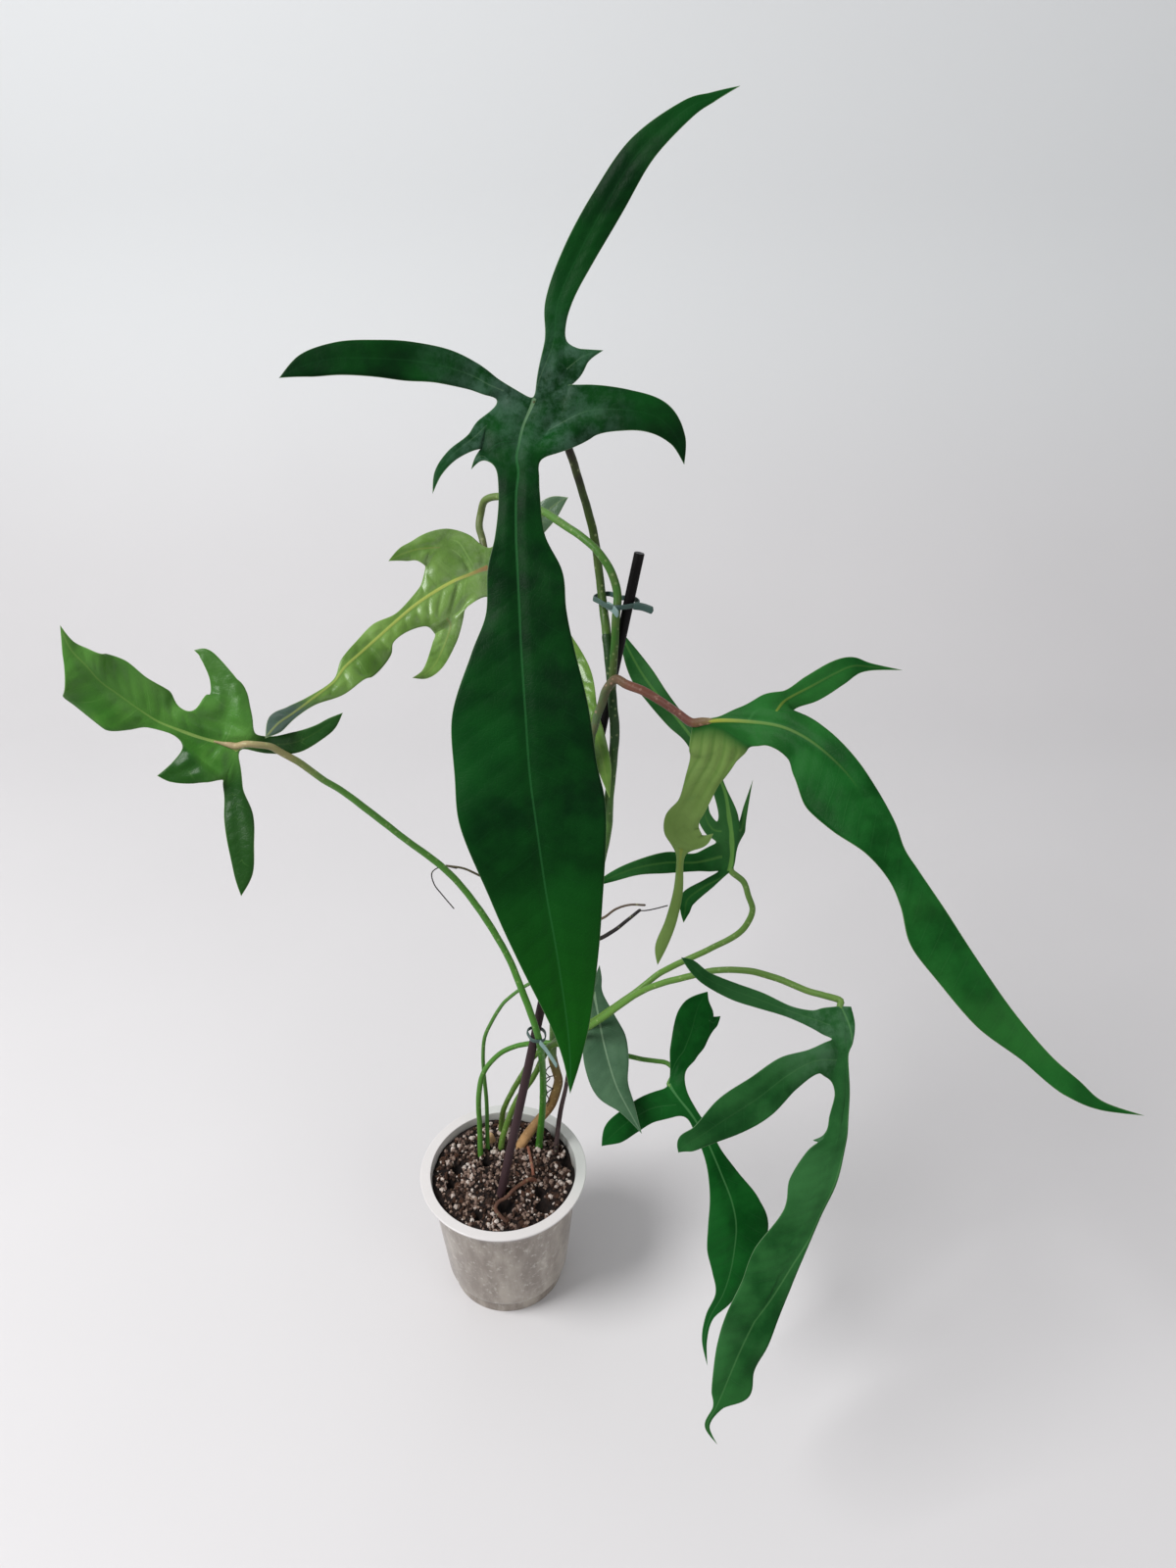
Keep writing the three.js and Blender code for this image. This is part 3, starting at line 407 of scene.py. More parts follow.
def veinFields(s, t, width, reach, leaf, part, ribShift, anchors=None):
    # six values: u along the midrib; v across it; the running number of the side vein; how strong that
    # vein is; the rib's power, which fades from base to tip; and the mark, above 0 for pale and below
    # 0 for turned parts, whose colour is partly their own tone and partly painted shade. Side veins are
    # lines of equal q = u - lead |v|, with the lead growing from the base
    u = reach[:, None] + 0 * t
    v = (t - np.reshape(ribShift, (-1, 1))) * width
    lead = leaf["veinLead"] * np.clip(u / leaf["veinRamp"], 0, 1)
    q = u - lead * np.abs(v)
    even = q / leaf["veinSpacing"] + 0.5
    number = even + 0.24 * np.sin(1.9 * even) + 0.12 * np.sin(3.7 * even + 2 * np.sign(v))
    strong = np.zeros_like(number)
    for side, marks in (anchors or {}).items():
        on = (t > 0) if side == "left" else (t < 0)
        places = np.array([0.0] + sorted(marks))
        beyond = places[-1] + leaf["veinSpacing"] * np.arange(1, 80)
        mapped = np.interp(q, np.append(places, beyond), np.arange(len(places) + len(beyond)))
        number = np.where(on, mapped, number)
        for k in range(1, len(places)):
            strong = np.maximum(strong, np.where(on, 1 - smoothStep(0.1, 0.5, np.abs(mapped - k)), 0))
    first, last, end = (*part.get("rib", (0.3, 0.05)), 1.0)[:3]
    power = first + (last - first) * np.clip(u / (end * reach[-1]), 0, 1) ** 0.8
    low, high, value = part.get("mark", (0, 1, 0))
    mark = value * smoothStep(low, high, s)[:, None] + 0 * t
    return np.stack([u, v, number, strong, power, mark], -1)


def placeOf(s, value):
    return int(np.argmin(np.abs(s - value)))


def growBlade(sheet, leaf):
    rows = paddedRows(leaf["rows"])
    s = stations(rows, bladeLook["cell"])
    half = max(int(2 * math.ceil(rows[:, 3:5].max() / (2 * bladeLook["column"]))), 6)
    steps = (np.arange(half + 1) / half) ** bladeLook["spread"]
    t = np.concatenate([steps[::-1], -steps[1:]])[None, :] + 0 * s[:, None]
    points, width = bladePoints(rows, s, t)
    centre = rowsBetween(rows, s)[:, :3]
    reach = lengthAlong(centre)
    body = sheet.add(points[:-1].reshape(-1, 3)).reshape(len(s) - 1, -1)
    tip = sheet.add(centre[-1:])
    grid = np.vstack([body, np.full((1, t.shape[1]), tip[0])])
    # a strong side vein runs to the middle of each lobe on the margin
    anchors = {"left": [], "right": []}
    for lobe in leaf["lobes"]:
        if lobe["from"] in anchors:
            k = placeOf(s, sum(lobe["span"]) / 2)
            w = width[k, 0 if lobe["from"] == "left" else -1]
            lead = leaf["veinLead"] * min(reach[k] / leaf["veinRamp"], 1)
            anchors[lobe["from"]].append(max(reach[k] - lead * w, 1.5))
    places, shifts = zip(*leaf.get("ribPath", [(0, 0)]))
    shift = np.interp(s, places, shifts)
    sheet.strips(grid, veinFields(s, t, width, reach, leaf, leaf, shift, anchors))
    for lobe in leaf["lobes"]:
        growLobe(sheet, leaf, lobe, grid, s)
    return reach[-1]


def lobeEdge(grid, s, lobe):
    # a stretch of the parent's edge, or half of its first row, from the left of the lobe to its right
    middle = (grid.shape[1] - 1) // 2
    if lobe["from"] == "baseLeft":
        return grid[0, :middle + 1][::-1]
    if lobe["from"] == "baseRight":
        return grid[0, middle:][::-1]
    first, last = (placeOf(s, value) for value in lobe["span"])
    if lobe["from"] == "left":
        return grid[first:last + 1, 0]
    return grid[first:last + 1, -1][::-1]


def growLobe(sheet, leaf, lobe, parent, parentS):
    # the first row is the parent's edge; over the first interval it turns into the lobe's own rows
    edge = lobeEdge(parent, parentS, lobe)
    known = sheet.all()[edge]
    start = known.mean(0)
    chord = np.linalg.norm(known[0] - known[-1])
    own = paddedRows(lobe["rows"])
    rows = np.vstack([np.concatenate([start, [chord / 2, chord / 2], own[0, 5:]]), own])
    s = stations(rows, bladeLook["cell"])
    t = (1 - 2 * np.arange(len(edge)) / (len(edge) - 1))[None, :] + 0 * s[:, None]
    placed, width = bladePoints(rows, s, t)
    centre = rowsBetween(rows, s)[:, :3]
    turn = smoothStep(0, 1, s)[:, None, None]
    points = (known[None] + (centre - start)[:, None]) * (1 - turn) + placed * turn
    body = sheet.add(points[1:-1].reshape(-1, 3)).reshape(len(s) - 2, -1)
    tip = sheet.add(centre[-1:])
    grid = np.vstack([edge[None], body, np.full((1, len(edge)), tip[0])])
    # a base lobe's rib comes from the corner where the stalk joins
    corner = {"baseLeft": 1.0, "baseRight": -1.0}.get(lobe["from"], 0.0)
    shift = corner * (1 - smoothStep(0, 1.2, s))
    sheet.strips(grid, veinFields(s, t, np.maximum(width, 0.3), lengthAlong(centre), leaf, lobe, shift))
    sheet.sinuses += [edge[0], edge[-1]]
    sheet.joints += list(edge)
    for child in lobe.get("lobes", []):
        growLobe(sheet, leaf, child, grid, s)


def edgesOf(quads, tris):
    pairs = [np.stack([f, np.roll(f, -1, axis=1)], -1).reshape(-1, 2) for f in (quads, tris)]
    return np.vstack(pairs)


def openEdges(pairs, count):
    # directed edges whose opposite isn't there
    code = pairs[:, 0] * count + pairs[:, 1]
    back = pairs[:, 1] * count + pairs[:, 0]
    return pairs[~np.isin(code, back)]


def averageOf(pairs, points):
    # mean of each point's neighbours
    total = np.zeros_like(points)
    number = np.zeros(len(points))
    for a, b in ((0, 1), (1, 0)):
        for axis in range(3):
            total[:, axis] += np.bincount(pairs[:, a], points[pairs[:, b], axis], len(points))
        number += np.bincount(pairs[:, a], minlength=len(points))
    return total / np.maximum(number, 1)[:, None]


def roundSinuses(points, pairs, margin, sinuses):
    # points near a sinus move towards their neighbours' mean; margin points only along the margin
    centres = points[np.array(sinuses)]
    away = np.linalg.norm(points[:, None] - centres[None], axis=2).min(1)
    weight = 0.5 * np.exp(-(away / bladeLook["sinusReach"]) ** 2)[:, None]
    onMargin = np.zeros(len(points), bool)
    onMargin[margin.ravel()] = True
    for _ in range(bladeLook["sinusRounds"]):
        goal = np.where(onMargin[:, None], averageOf(margin, points), averageOf(pairs, points))
        points = points + weight * (goal - points)
    return points


def sheetNormals(points, quads, tris):
    # each face's cross product, of a quad's diagonals or a triangle's sides, summed at its corners
    normal = np.zeros_like(points)
    for faces, (a, b), (c, d) in ((quads, (0, 2), (1, 3)), (tris, (0, 1), (0, 2))):
        cross = np.cross(points[faces[:, b]] - points[faces[:, a]], points[faces[:, d]] - points[faces[:, c]])
        for corner in range(faces.shape[1]):
            for axis in range(3):
                normal[:, axis] += np.bincount(faces[:, corner], cross[:, axis], len(points))
    return unit(normal)


def distanceTo(points, line):
    # from each point to the nearest of a few others
    parts = [np.linalg.norm(part[:, None] - line[None], axis=2).min(1) for part in np.array_split(points, 40)]
    return np.concatenate(parts)


def cornerToPoint(values, faces, count):
    # mean of the corner values that meet at each point
    total = np.zeros(count)
    number = np.zeros(count)
    for group, corners in zip(values, faces):
        total += np.bincount(corners.ravel(), group.ravel(), count)
        number += np.bincount(corners.ravel(), minlength=count)
    return total / np.maximum(number, 1)


def bladeReliefs(leaf, away, calm, v, strong, power, pale, ripple):
    # heights over the middle surface, in the upper face, in the under face and in both
    thin = bladeLook["marginShare"]
    thick = 0.5 * bladeLook["thickness"] * (thin + (1 - thin) * smoothStep(0, bladeLook["marginWidth"], away))
    inMargin = smoothStep(0, 2, away)
    swell = leaf["quilt"] * smoothStep(0, 5, away) * calm * smoothStep(0.6, 4, np.abs(v))
    # upper face: a channel or ridge along the ribs, and swellings between the side veins
    upper = leaf["ribRise"] * power * np.exp(-(v / (leaf["ribHalf"] * (0.4 + 0.6 * power))) ** 2) * inMargin
    upper = upper + swell * (1 - pale) * (ripple - 0.55) * (1 + strong)
    # under face: round ribs, and side veins that stand out
    under = leaf["ribUnder"] * power * np.exp(-(v / (1.2 * leaf["ribHalf"])) ** 2) * inMargin
    under = under + 0.5 * swell * (0.45 - ripple)
    # both: each half swells between midrib and margin, and the pale parts are pleated
    shift = leaf["crown"] * smoothStep(0, 8, away) * smoothStep(0.5, 6, np.abs(v)) * calm
    shift = shift + bladeLook["pleat"] * pale * np.cos(2 * math.pi * v / bladeLook["pleatWidth"]) * inMargin
    return thick + upper + shift, thick + under - shift


def makeLeaf(name, nodeName, leaf, materials):
    sheet = Sheet()
    length = growBlade(sheet, leaf)
    points = sheet.all()
    quads, tris = np.concatenate(sheet.quads), np.concatenate(sheet.tris)
    quadFields, triFields = np.concatenate(sheet.quadFields), np.concatenate(sheet.triFields)
    pairs = edgesOf(quads, tris)
    margin = openEdges(pairs, len(points))
    points = roundSinuses(points, pairs, margin, sheet.sinuses)
    away = distanceTo(points, points[np.unique(margin)])
    calm = smoothStep(0, bladeLook["calmReach"], distanceTo(points, points[np.array(sheet.joints)]))

    def atPoints(change):
        return cornerToPoint((change(quadFields), change(triFields)), (quads, tris), len(points))

    v, strong, power, mark = (atPoints(lambda fields: fields[..., column]) for column in (1, 3, 4, 5))
    ripple = atPoints(lambda fields: np.abs(np.sin(math.pi * fields[..., 2])) ** 0.7)
    upper, under = bladeReliefs(leaf, away, calm, v, strong, power, np.maximum(mark, 0), ripple)
    normal = sheetNormals(points, quads, tris)
    skins = np.vstack([points + normal * upper[:, None], points - normal * under[:, None]])
    # the wall round the margin lies far from any rib or vein
    below = len(points)
    a, b = margin[:, 0], margin[:, 1]
    walls = np.stack([b, a, a + below, b + below], 1)
    wallFields = np.zeros((len(walls), 4, 6))
    wallFields[..., 1] = 50.0
    wallFields[..., 2] = 0.5
    faces = [
        (quads, quadFields, 0), (tris, triFields, 0),
        (quads[:, ::-1] + below, quadFields[:, ::-1], 1), (tris[:, ::-1] + below, triFields[:, ::-1], 1),
        (walls, wallFields, 0),
    ]
    groups = []
    for corners, fields, number in faces:
        groups.append((corners, number, {"vein": fields[..., :3], "strength": fields[..., 3:]}))
    piece = makeObject(name, skins * mm, groups, materials, [nodeName])
    pointAttribute(piece, "edge", np.concatenate([away, away]))
    pointAttribute(piece, "calm", np.concatenate([calm, calm]))
    print(name, round(length), "mm,", len(quads) * 4 + len(tris) * 2 + len(walls) * 2, "triangles")


def leafBody(tree, look, u, v, mark, mottle):
    # two greens by a fine mottle, a third in broad patches, a fourth towards the tip; then the pale pleated
    # parts with painted shade in the pleats' troughs, the turned parts, partly in their own tone and partly
    # in painted shade, and pale streaks near the stalk that are partly dust and partly a painted sheen
    body = mixColours(tree, ease(tree, mottle, 0.32, 0.68), *look["body"])
    broad = ease(tree, noise(tree, 13.0, 2.0), 0.42, 0.64)
    body = mixColours(tree, multiply(tree, broad, look["patchShare"]), body, look["patch"])
    body = mixColours(tree, ease(tree, u, *look["tipRange"]), body, look["tip"])
    # painted shade: darker stripes of the pleat colour lie in the pleats' troughs
    wave = calculate(tree, "SINE", multiplyAdd(tree, v, 2 * math.pi / bladeLook["pleatWidth"], -math.pi / 2))
    pleatShade = multiply(tree, ease(tree, wave, 0.4, 1.0), ease(tree, u, 60.0, 20.0), 0.35)
    paleBody = mixColours(tree, mottle, *look["pale"])
    paleBody = mixColours(tree, pleatShade, paleBody, look["pleat"])
    body = mixColours(tree, calculate(tree, "MAXIMUM", mark, 0.0), body, paleBody)
    # turned parts: a darker colour, partly the turned face's own tone and partly painted shade
    turned = calculate(tree, "MAXIMUM", multiply(tree, mark, -1.0), 0.0)
    body = mixColours(tree, turned, body, look["turned"])
    # pale streaks near the stalk: partly dust, partly a painted sheen
    streak = ease(tree, noise(tree, 75.0, 6.0, 0.7), 0.38, 0.64)
    dust = multiply(tree, streak, ease(tree, u, look["dustReach"], 0.0), look["dust"])
    return mixColours(tree, dust, body, look["dusty"])


def leafMaterial(name, look):
    # a side vein is a thin band where its number is whole, moved and broken up by noise; the midrib is a
    # band of |v| whose width and strength follow the rib's power; the margin is a band of the edge distance
    material, tree = newMaterial(name)
    u, v, number = partsOf(tree, attributeValue(tree, "vein", "Vector"))
    strong, power, mark = partsOf(tree, attributeValue(tree, "strength", "Vector"))
    edge, calm = attributeValue(tree, "edge"), attributeValue(tree, "calm")
    mottle = noise(tree, look["mottleScale"], 5.0)
    body = leafBody(tree, look, u, v, mark, mottle)
    # side veins, each with a band of painted shade in the sunken strip beside it
    moved = multiplyAdd(tree, noise(tree, 26.0, 2.0), 0.5, number)
    whole = calculate(tree, "ABSOLUTE", calculate(tree, "SUBTRACT", calculate(tree, "FRACT", moved), 0.5))
    apart = multiply(tree, calculate(tree, "SUBTRACT", 0.5, whole), look["spacing"])
    shown = multiply(
        tree, ease(tree, noise(tree, 34.0, 2.0), 0.34, 0.6), multiplyAdd(tree, strong, 0.65, 0.35),
        ease(tree, edge, 0.5, 7.0), calm, look["veinShow"])
    line = multiply(tree, ease(tree, apart, look["veinWidth"], 0.0), shown)
    # painted shade: a darker band along both sides of each vein
    hollowShade = multiply(tree, ease(tree, apart, look["veinWidth"] * 4, look["veinWidth"]), shown)
    body = mixColours(tree, multiply(tree, hollowShade, look["veinHollow"]), body, look["shade"])
    body = mixColours(tree, line, body, look["vein"])
    # midrib and margin
    across = calculate(tree, "DIVIDE", calculate(tree, "ABSOLUTE", v), multiplyAdd(tree, power, 0.65, 0.35))
    band = multiply(
        tree, ease(tree, across, look["ribWidth"], look["ribWidth"] * 0.45), ease(tree, edge, 0.0, 1.5))
    rib = mixColours(tree, ease(tree, u, look["ribReach"], 0.0), look["rib"], look["ribBase"])
    body = mixColours(tree, multiply(tree, band, power, look["ribShow"]), body, rib)
    rim = multiply(tree, ease(tree, edge, look["marginWidth"], 0.0), look["marginShow"])
    body = mixColours(tree, rim, body, look["margin"])
    # a fine net and grain as relief, and light that comes through the blade
    net = ease(tree, cellDistance(tree, 380.0, "DISTANCE_TO_EDGE"), 0.0, 0.12)
    height = multiplyAdd(tree, net, 0.5, multiply(tree, noise(tree, 2600.0, 2.0), 0.3))
    bump = bumpOf(tree, multiplyAdd(tree, line, -1.2, height), 0.3, 0.0003)
    rough = multiplyAdd(tree, mottle, 0.2, look["rough"])
    shader = skinShader(tree, body, rough, look["gloss"], bump, look["coat"], 0.28)
    glowing = mixColours(tree, 0.45, body, look["through"])
    through = addNode(tree, "ShaderNodeBsdfTranslucent", {"Color": glowing, "Normal": bump}).outputs[0]
    both = addNode(tree, "ShaderNodeMixShader", {0: look["throughShare"], 1: shader, 2: through})
    finish(tree, both.outputs[0])
    return material


# widths, reaches, ranges and spacing are in millimetres on the blade; shares and shows run from 0 to 1
# the colours of the vein hollows, of the pleats' troughs and of the turned parts are painted shade; the pale
# streaks near the stalk are partly dust and partly a painted sheen
leafBasics = {
    "mottleScale": 48.0, "patchShare": 0.5, "tipRange": (900.0, 1000.0), "spacing": 9.0,
    "veinWidth": 0.4, "veinShow": 0.5, "veinHollow": 0.5, "ribWidth": 1.0, "ribShow": 0.8, "ribReach": 1.0,
    "marginWidth": 0.4, "marginShow": 0.5, "rough": 0.4, "gloss": 0.06, "coat": 0.0, "throughShare": 0.06,
    "dust": 0.0, "dustReach": 50.0, "dusty": "5f7f66", "pale": ("5a7d3a", "6f8f50"), "pleat": "3f6a2a",
    "turned": "3f5c4c", "shade": "02200a",
}


def lookOf(**changes):
    return dict(leafBasics, **changes)


leafLooks = {
    "dark": lookOf(
        body=("012108", "05330d"), patch="0d4817", tip="0d460c", tipRange=(215.0, 330.0), vein="1c4c28",
        rib="2f6a3a", ribBase="7f9f7a", ribReach=36.0, ribWidth=0.9, ribShow=0.45, margin="7d9a70",
        through="2f7a18", dust=0.28, dustReach=58.0, dusty="5f7f70", throughShare=0.03, spacing=13.0,
        veinShow=0.4),
    "mid": lookOf(
        body=("083a10", "14501c"), patch="2c682c", tip="0a4a16", tipRange=(330.0, 390.0), vein="3f7a40",
        rib="6f8a48", ribBase="a0a03c", ribReach=45.0, ribWidth=1.6, ribShow=1.0, margin="86a070",
        through="4a9a24", turned="2a4a3a", veinShow=0.35, pale=("66843f", "829e5a"), pleat="4c762f"),
    "back": lookOf(
        body=("083c10", "1f5424"), patch="3f6e3c", tip="5d7f60", tipRange=(900.0, 990.0), vein="4a7550",
        rib="6b9a4a", ribBase="6b9a4a", ribWidth=1.8, ribShow=0.8, margin="86a070", through="4a9a24"),
    "hanging": lookOf(
        body=("12421a", "25592a"), patch="386c3c", tip="265c28", tipRange=(200.0, 300.0), vein="3c7042",
        rib="5f8f58", ribBase="6f9a64", ribWidth=1.0, ribShow=0.6, margin="7f9f76", through="3f8a24",
        dust=0.4, dustReach=45.0, dusty="5a7f62"),
    "low": lookOf(
        body=("033a0e", "0d4c18"), patch="1a5a24", tip="15501f", tipRange=(130.0, 170.0), vein="2f6a38",
        rib="4f8450", ribBase="5f8f5c", ribWidth=1.0, ribShow=0.7, margin="7f9f76", through="3f8a24"),
    "light": lookOf(
        body=("466c20", "668a3a"), patch="76964e", tip="58783a", vein="84a658", rib="b0b858",
        ribBase="8f6f48", ribReach=26.0, ribWidth=1.4, ribShow=0.95, margin="a9c080", through="9ac84a",
        turned="42584c", rough=0.22, gloss=0.4, coat=0.2, throughShare=0.1, veinShow=0.6, shade="3a621e",
        dust=0.25, dusty="a3b58c", dustReach=40.0),
    "fresh": lookOf(
        body=("2c6418", "467a2a"), patch="58863e", tip="407022", vein="7aa45a", rib="a5bf68",
        ribBase="a5bf68", ribWidth=1.3, ribShow=0.8, margin="94b474", through="7ab83a", rough=0.3,
        gloss=0.2, coat=0.03, throughShare=0.08, shade="1f4f14", turned="083806"),
    "grey": lookOf(
        body=("34523a", "48674c"), patch="56745c", tip="48674c", vein="6c8a6f", rib="849e80",
        ribBase="849e80", margin="849e80", through="6ca05a", shade="263f2c"),
}
underLooks = {
    "dark": lookOf(
        body=("44683f", "55784f"), patch="5f8258", tip="55784f", vein="7d9c70", rib="9ab478",
        ribBase="9ab478", margin="7f9f76", through="4f8f2c", rough=0.5, shade="35552f"),
    "light": lookOf(
        body=("6b8c4c", "7f9e5c"), patch="8aa668", tip="7f9e5c", vein="9db47a", rib="b9c07a",
        ribBase="a58f68", margin="a9c080", through="8abf42", rough=0.45, throughShare=0.15, shade="4f7035"),
}
leafMaterials = {key: leafMaterial("leaf_" + key, look) for key, look in leafLooks.items()}
underMaterials = {key: leafMaterial("leaf_under_" + key, look) for key, look in underLooks.items()}
print("leaf materials ready")


# a leaf's rows run along its midrib, and a lobe grows from a span of its parent's rows, on the left or the
# right, or from half of the base. rib is the midrib's power at the base and at the tip, then the share of
# the length where it reaches the last; mark is the row where a part starts to turn pale (above 0) or to
# show its turned colour (below 0), partly the turned face's own tone and partly painted shade, the row
# where it is full, and how much; ribPath is how far the midrib lies to the left, as a share of the width,
# at some rows
def leafOf(**changes):
    basics = {
        "veinLead": 0.62, "veinRamp": 26.0, "veinSpacing": 9.0, "rib": (1.0, 0.25), "ribHalf": 1.1,
        "ribRise": -0.25, "ribUnder": 1.0, "quilt": 0.25, "crown": 0.8,
    }
    return dict(basics, **changes)


topLeaf = leafOf(
    veinSpacing=13.0, ribHalf=1.4, quilt=0.3, rib=(1.0, 0.45),
    rows=[
        (34, 48, 645, 12, 16.5, -12.5, -1), (31, 44, 640, 13, 17, -8, -1.5),
        (28, 39, 634, 12.5, 16.5, -2.5, -4), (26, 31, 627, 10.5, 18, -1, -6.5),
        (25, 27, 622, 10, 18.5, 0.5, -5.5), (26, 22, 616, 10.5, 13.5, 0, -6.5),
        (25, 14, 607, 12, 9, -1, -1.5), (25, 2, 591, 14.5, 10.5), (26, -11, 576, 22.5, 15, 1, -1.5),
        (27, -23, 560, 23.5, 17), (28, -35, 544, 26.5, 25), (30, -52, 520, 31.5, 36.5),
        (32, -67, 494, 34, 37.5), (35, -79, 473, 35.5, 37.5), (40, -95, 440, 29.5, 28.5),
        (45, -108, 414, 22.5, 21), (50, -123, 382, 13, 10), (52, -133, 362, 6, 4), (52, -142, 345, 0, 0),
    ],
    lobes=[
        {
            "from": "baseLeft",
            "rows": [
                (44, 63, 670, 5, 5), (46, 70, 688, 6.5, 7, -0.5, 1), (56, 79, 708, 8, 8.5, -2, 2),
                (71, 88, 732, 8.5, 9, -1, 1.5), (87, 94, 754, 7.5, 8, -1.5, 1.5),
                (109, 98, 771, 4.5, 4.5, -1, 1), (122, 100, 776, 3, 2), (135, 101, 781, 0, 0),
            ],
            "lobes": [
                {"from": "right", "span": (0, 1), "rows": [(59, 60, 664, 4, 4), (69, 64, 666, 0, 0)]},
            ],
        },
        {
            "from": "right", "span": (0, 1),
            "rows": [
                (12, 49, 652, 5.5, 5.5), (2, 50, 657, 7, 7), (-12, 48, 662, 9, 9), (-27, 46, 665, 10, 10),
                (-43, 42, 667, 9, 9), (-62, 38, 668, 8.5, 8.5), (-77, 34, 666, 6, 6), (-90, 29, 661, 0, 0),
            ],
        },
        {
            "from": "left", "span": (0, 4),
            "rows": [
                (61, 43, 641, 13.5, 13), (81, 41, 642, 11, 10.5), (97, 41, 638, 8.5, 8.5),
                (107, 40, 628, 4.5, 4.5), (111, 38, 615, 0, 0),
            ],
        },
        {
            "from": "right", "span": (2, 4),
            "rows": [
                (4, 33, 631, 5.5, 3.5, 4, 0), (-7, 26, 624, 3, 3), (-14, 19, 617, 2, 2), (-17, 14, 608, 0, 0),
            ],
        },
        {"from": "right", "span": (4, 5), "rows": [(6, 27, 623, 2.5, 2), (2, 24, 617, 0, 0)]},
    ],
)
leftMiddleLeaf = leafOf(
    veinSpacing=10.5, quilt=1.1, ribRise=0.3, rib=(1.0, 0.3), mark=(9.6, 11.0, -1.0),
    rows=[
        (-1, 115, 526, 17, 9, 6, -4.5), (-11, 109, 524, 15.5, 28.5, 3.5, -8.5),
        (-21, 103, 522, 17.5, 22.5, 5.5, -5.5), (-32, 96, 518, 17, 16.5, 7.5, -7),
        (-43, 88, 513, 15, 7, -0.5, -9.5), (-53, 80, 507, 10, 3.5, -3, -3.5),
        (-62, 70, 502, 8.5, 8, -3, -2.5), (-71, 60, 497, 13, 7, -9.5, -2.5), (-80, 50, 492, 15.5, 5, -4, -4),
        (-86, 40, 487, 10, 1, 0, -1.5), (-97, 28, 482, 4, 2.5, -1, 1), (-105, 16, 480, 3, 5),
        (-111, 4, 480, 4.5, 6.5, 2.5, -1.5), (-115, -10, 479, 0, 0),
    ],
    lobes=[
        {
            "from": "right", "span": (1, 3),
            "rows": [(-41, 110, 540, 7, 7, 2, -0.5), (-50, 105, 539, 4.5, 4), (-58, 99, 537, 0, 0)],
        },
        {
            "from": "left", "span": (1, 4),
            "rows": [
                (-22, 86, 500, 7, 8.5, -9, 5.5), (-25, 76, 493, 6, 7, -4, 2.5), (-29, 62, 488, 5, 5.5),
                (-34, 52, 486, 3, 3), (-41, 45, 487, 0, 0),
            ],
        },
        {
            "from": "baseRight", "mark": (0.0, 1.5, -0.8),
            "rows": [
                (14, 127, 536, 8.5, 8.5), (30, 139, 547, 8, 8), (40, 144, 555, 6, 6), (49, 145, 560, 0, 0),
            ],
        },
        {
            "from": "baseLeft",
            "rows": [
                (19, 109, 511, 9, 9), (37, 90, 498, 8.5, 8.5), (55, 67, 480, 7.5, 7.5), (61, 43, 466, 6, 6),
                (66.5, 34, 453, 5, 5), (71, 27, 436, 4, 4), (74, 21, 419, 0, 0),
            ],
        },
    ],
)
leftLowLeaf = leafOf(
    veinSpacing=8.0, quilt=0.6, crown=1.3, rib=(1.0, 0.15, 0.5),
    rows=[
        (-132, -10, 474, 18, 8, 1.5, -7.5), (-143, -10, 477, 12, 11, 2.5, -2.5),
        (-153, -12, 482, 5, 11.5, 4, 3), (-162, -13, 487, 3.5, 11.5, 2.5, 1.5),
        (-171, -13, 492, 5.5, 17, 1.5, 1.5), (-180, -13, 500, 12, 16.5, -4.5, 5.5),
        (-188, -13, 508, 19, 16.5, -7, 8.5), (-195, -14, 516, 19, 12.5, -6.5, 9.5),
        (-200, -15, 526, 19.5, 7, -5.5, 6.5), (-206, -15, 536, 6, 3.5, -3.5, 2), (-208, -15, 549, 0, 0),
    ],
    lobes=[
        {
            "from": "right", "span": (0, 2), "mark": (0.3, 1.5, -0.4), "rib": (0.0, 0.0),
            "rows": [
                (-135, 4, 496, 12, 10, 2.5, -1), (-139, 10, 504, 7, 7.5, 2.5, -3),
                (-144, 15, 512, 5, 4.5, 2, -2.5), (-149, 18, 517, 3.5, 2.5, 1, -1), (-155, 19, 518, 0, 0),
            ],
        },
        {
            "from": "left", "span": (0, 2), "mark": (0.0, 1.2, -0.75), "rib": (0.0, 0.0),
            "rows": [
                (-151, -20, 468, 11, 12.5, 0, 1.5), (-159, -23, 465, 7.5, 7, -3, 3.5),
                (-166, -25, 464, 3.5, 3.5, -1.5, 2.5), (-172, -26, 465, 0, 0),
            ],
        },
        {
            "from": "baseLeft", "mark": (0.0, 1.0, -0.9), "rib": (0.0, 0.0),
            "rows": [
                (-134, -21, 454, 5.5, 5.5), (-131, -30, 442, 8, 7.5, 1.5, -0.5), (-129, -40, 429, 7.5, 7),
                (-128, -48, 416, 5.5, 5, 0, 1), (-129, -55, 405, 0, 0),
            ],
        },
        {
            "from": "baseRight", "mark": (0.0, 1.0, -0.9), "rib": (0.1, 0.0),
            "rows": [
                (-116, -2.5, 470.5, 4.5, 5), (-103, 4, 468, 6, 6), (-91.5, 10.5, 471, 4, 5, -0.5, 1),
                (-84, 15, 475, 2.5, 4), (-78, 20, 478, 0, 0),
            ],
        },
    ],
)
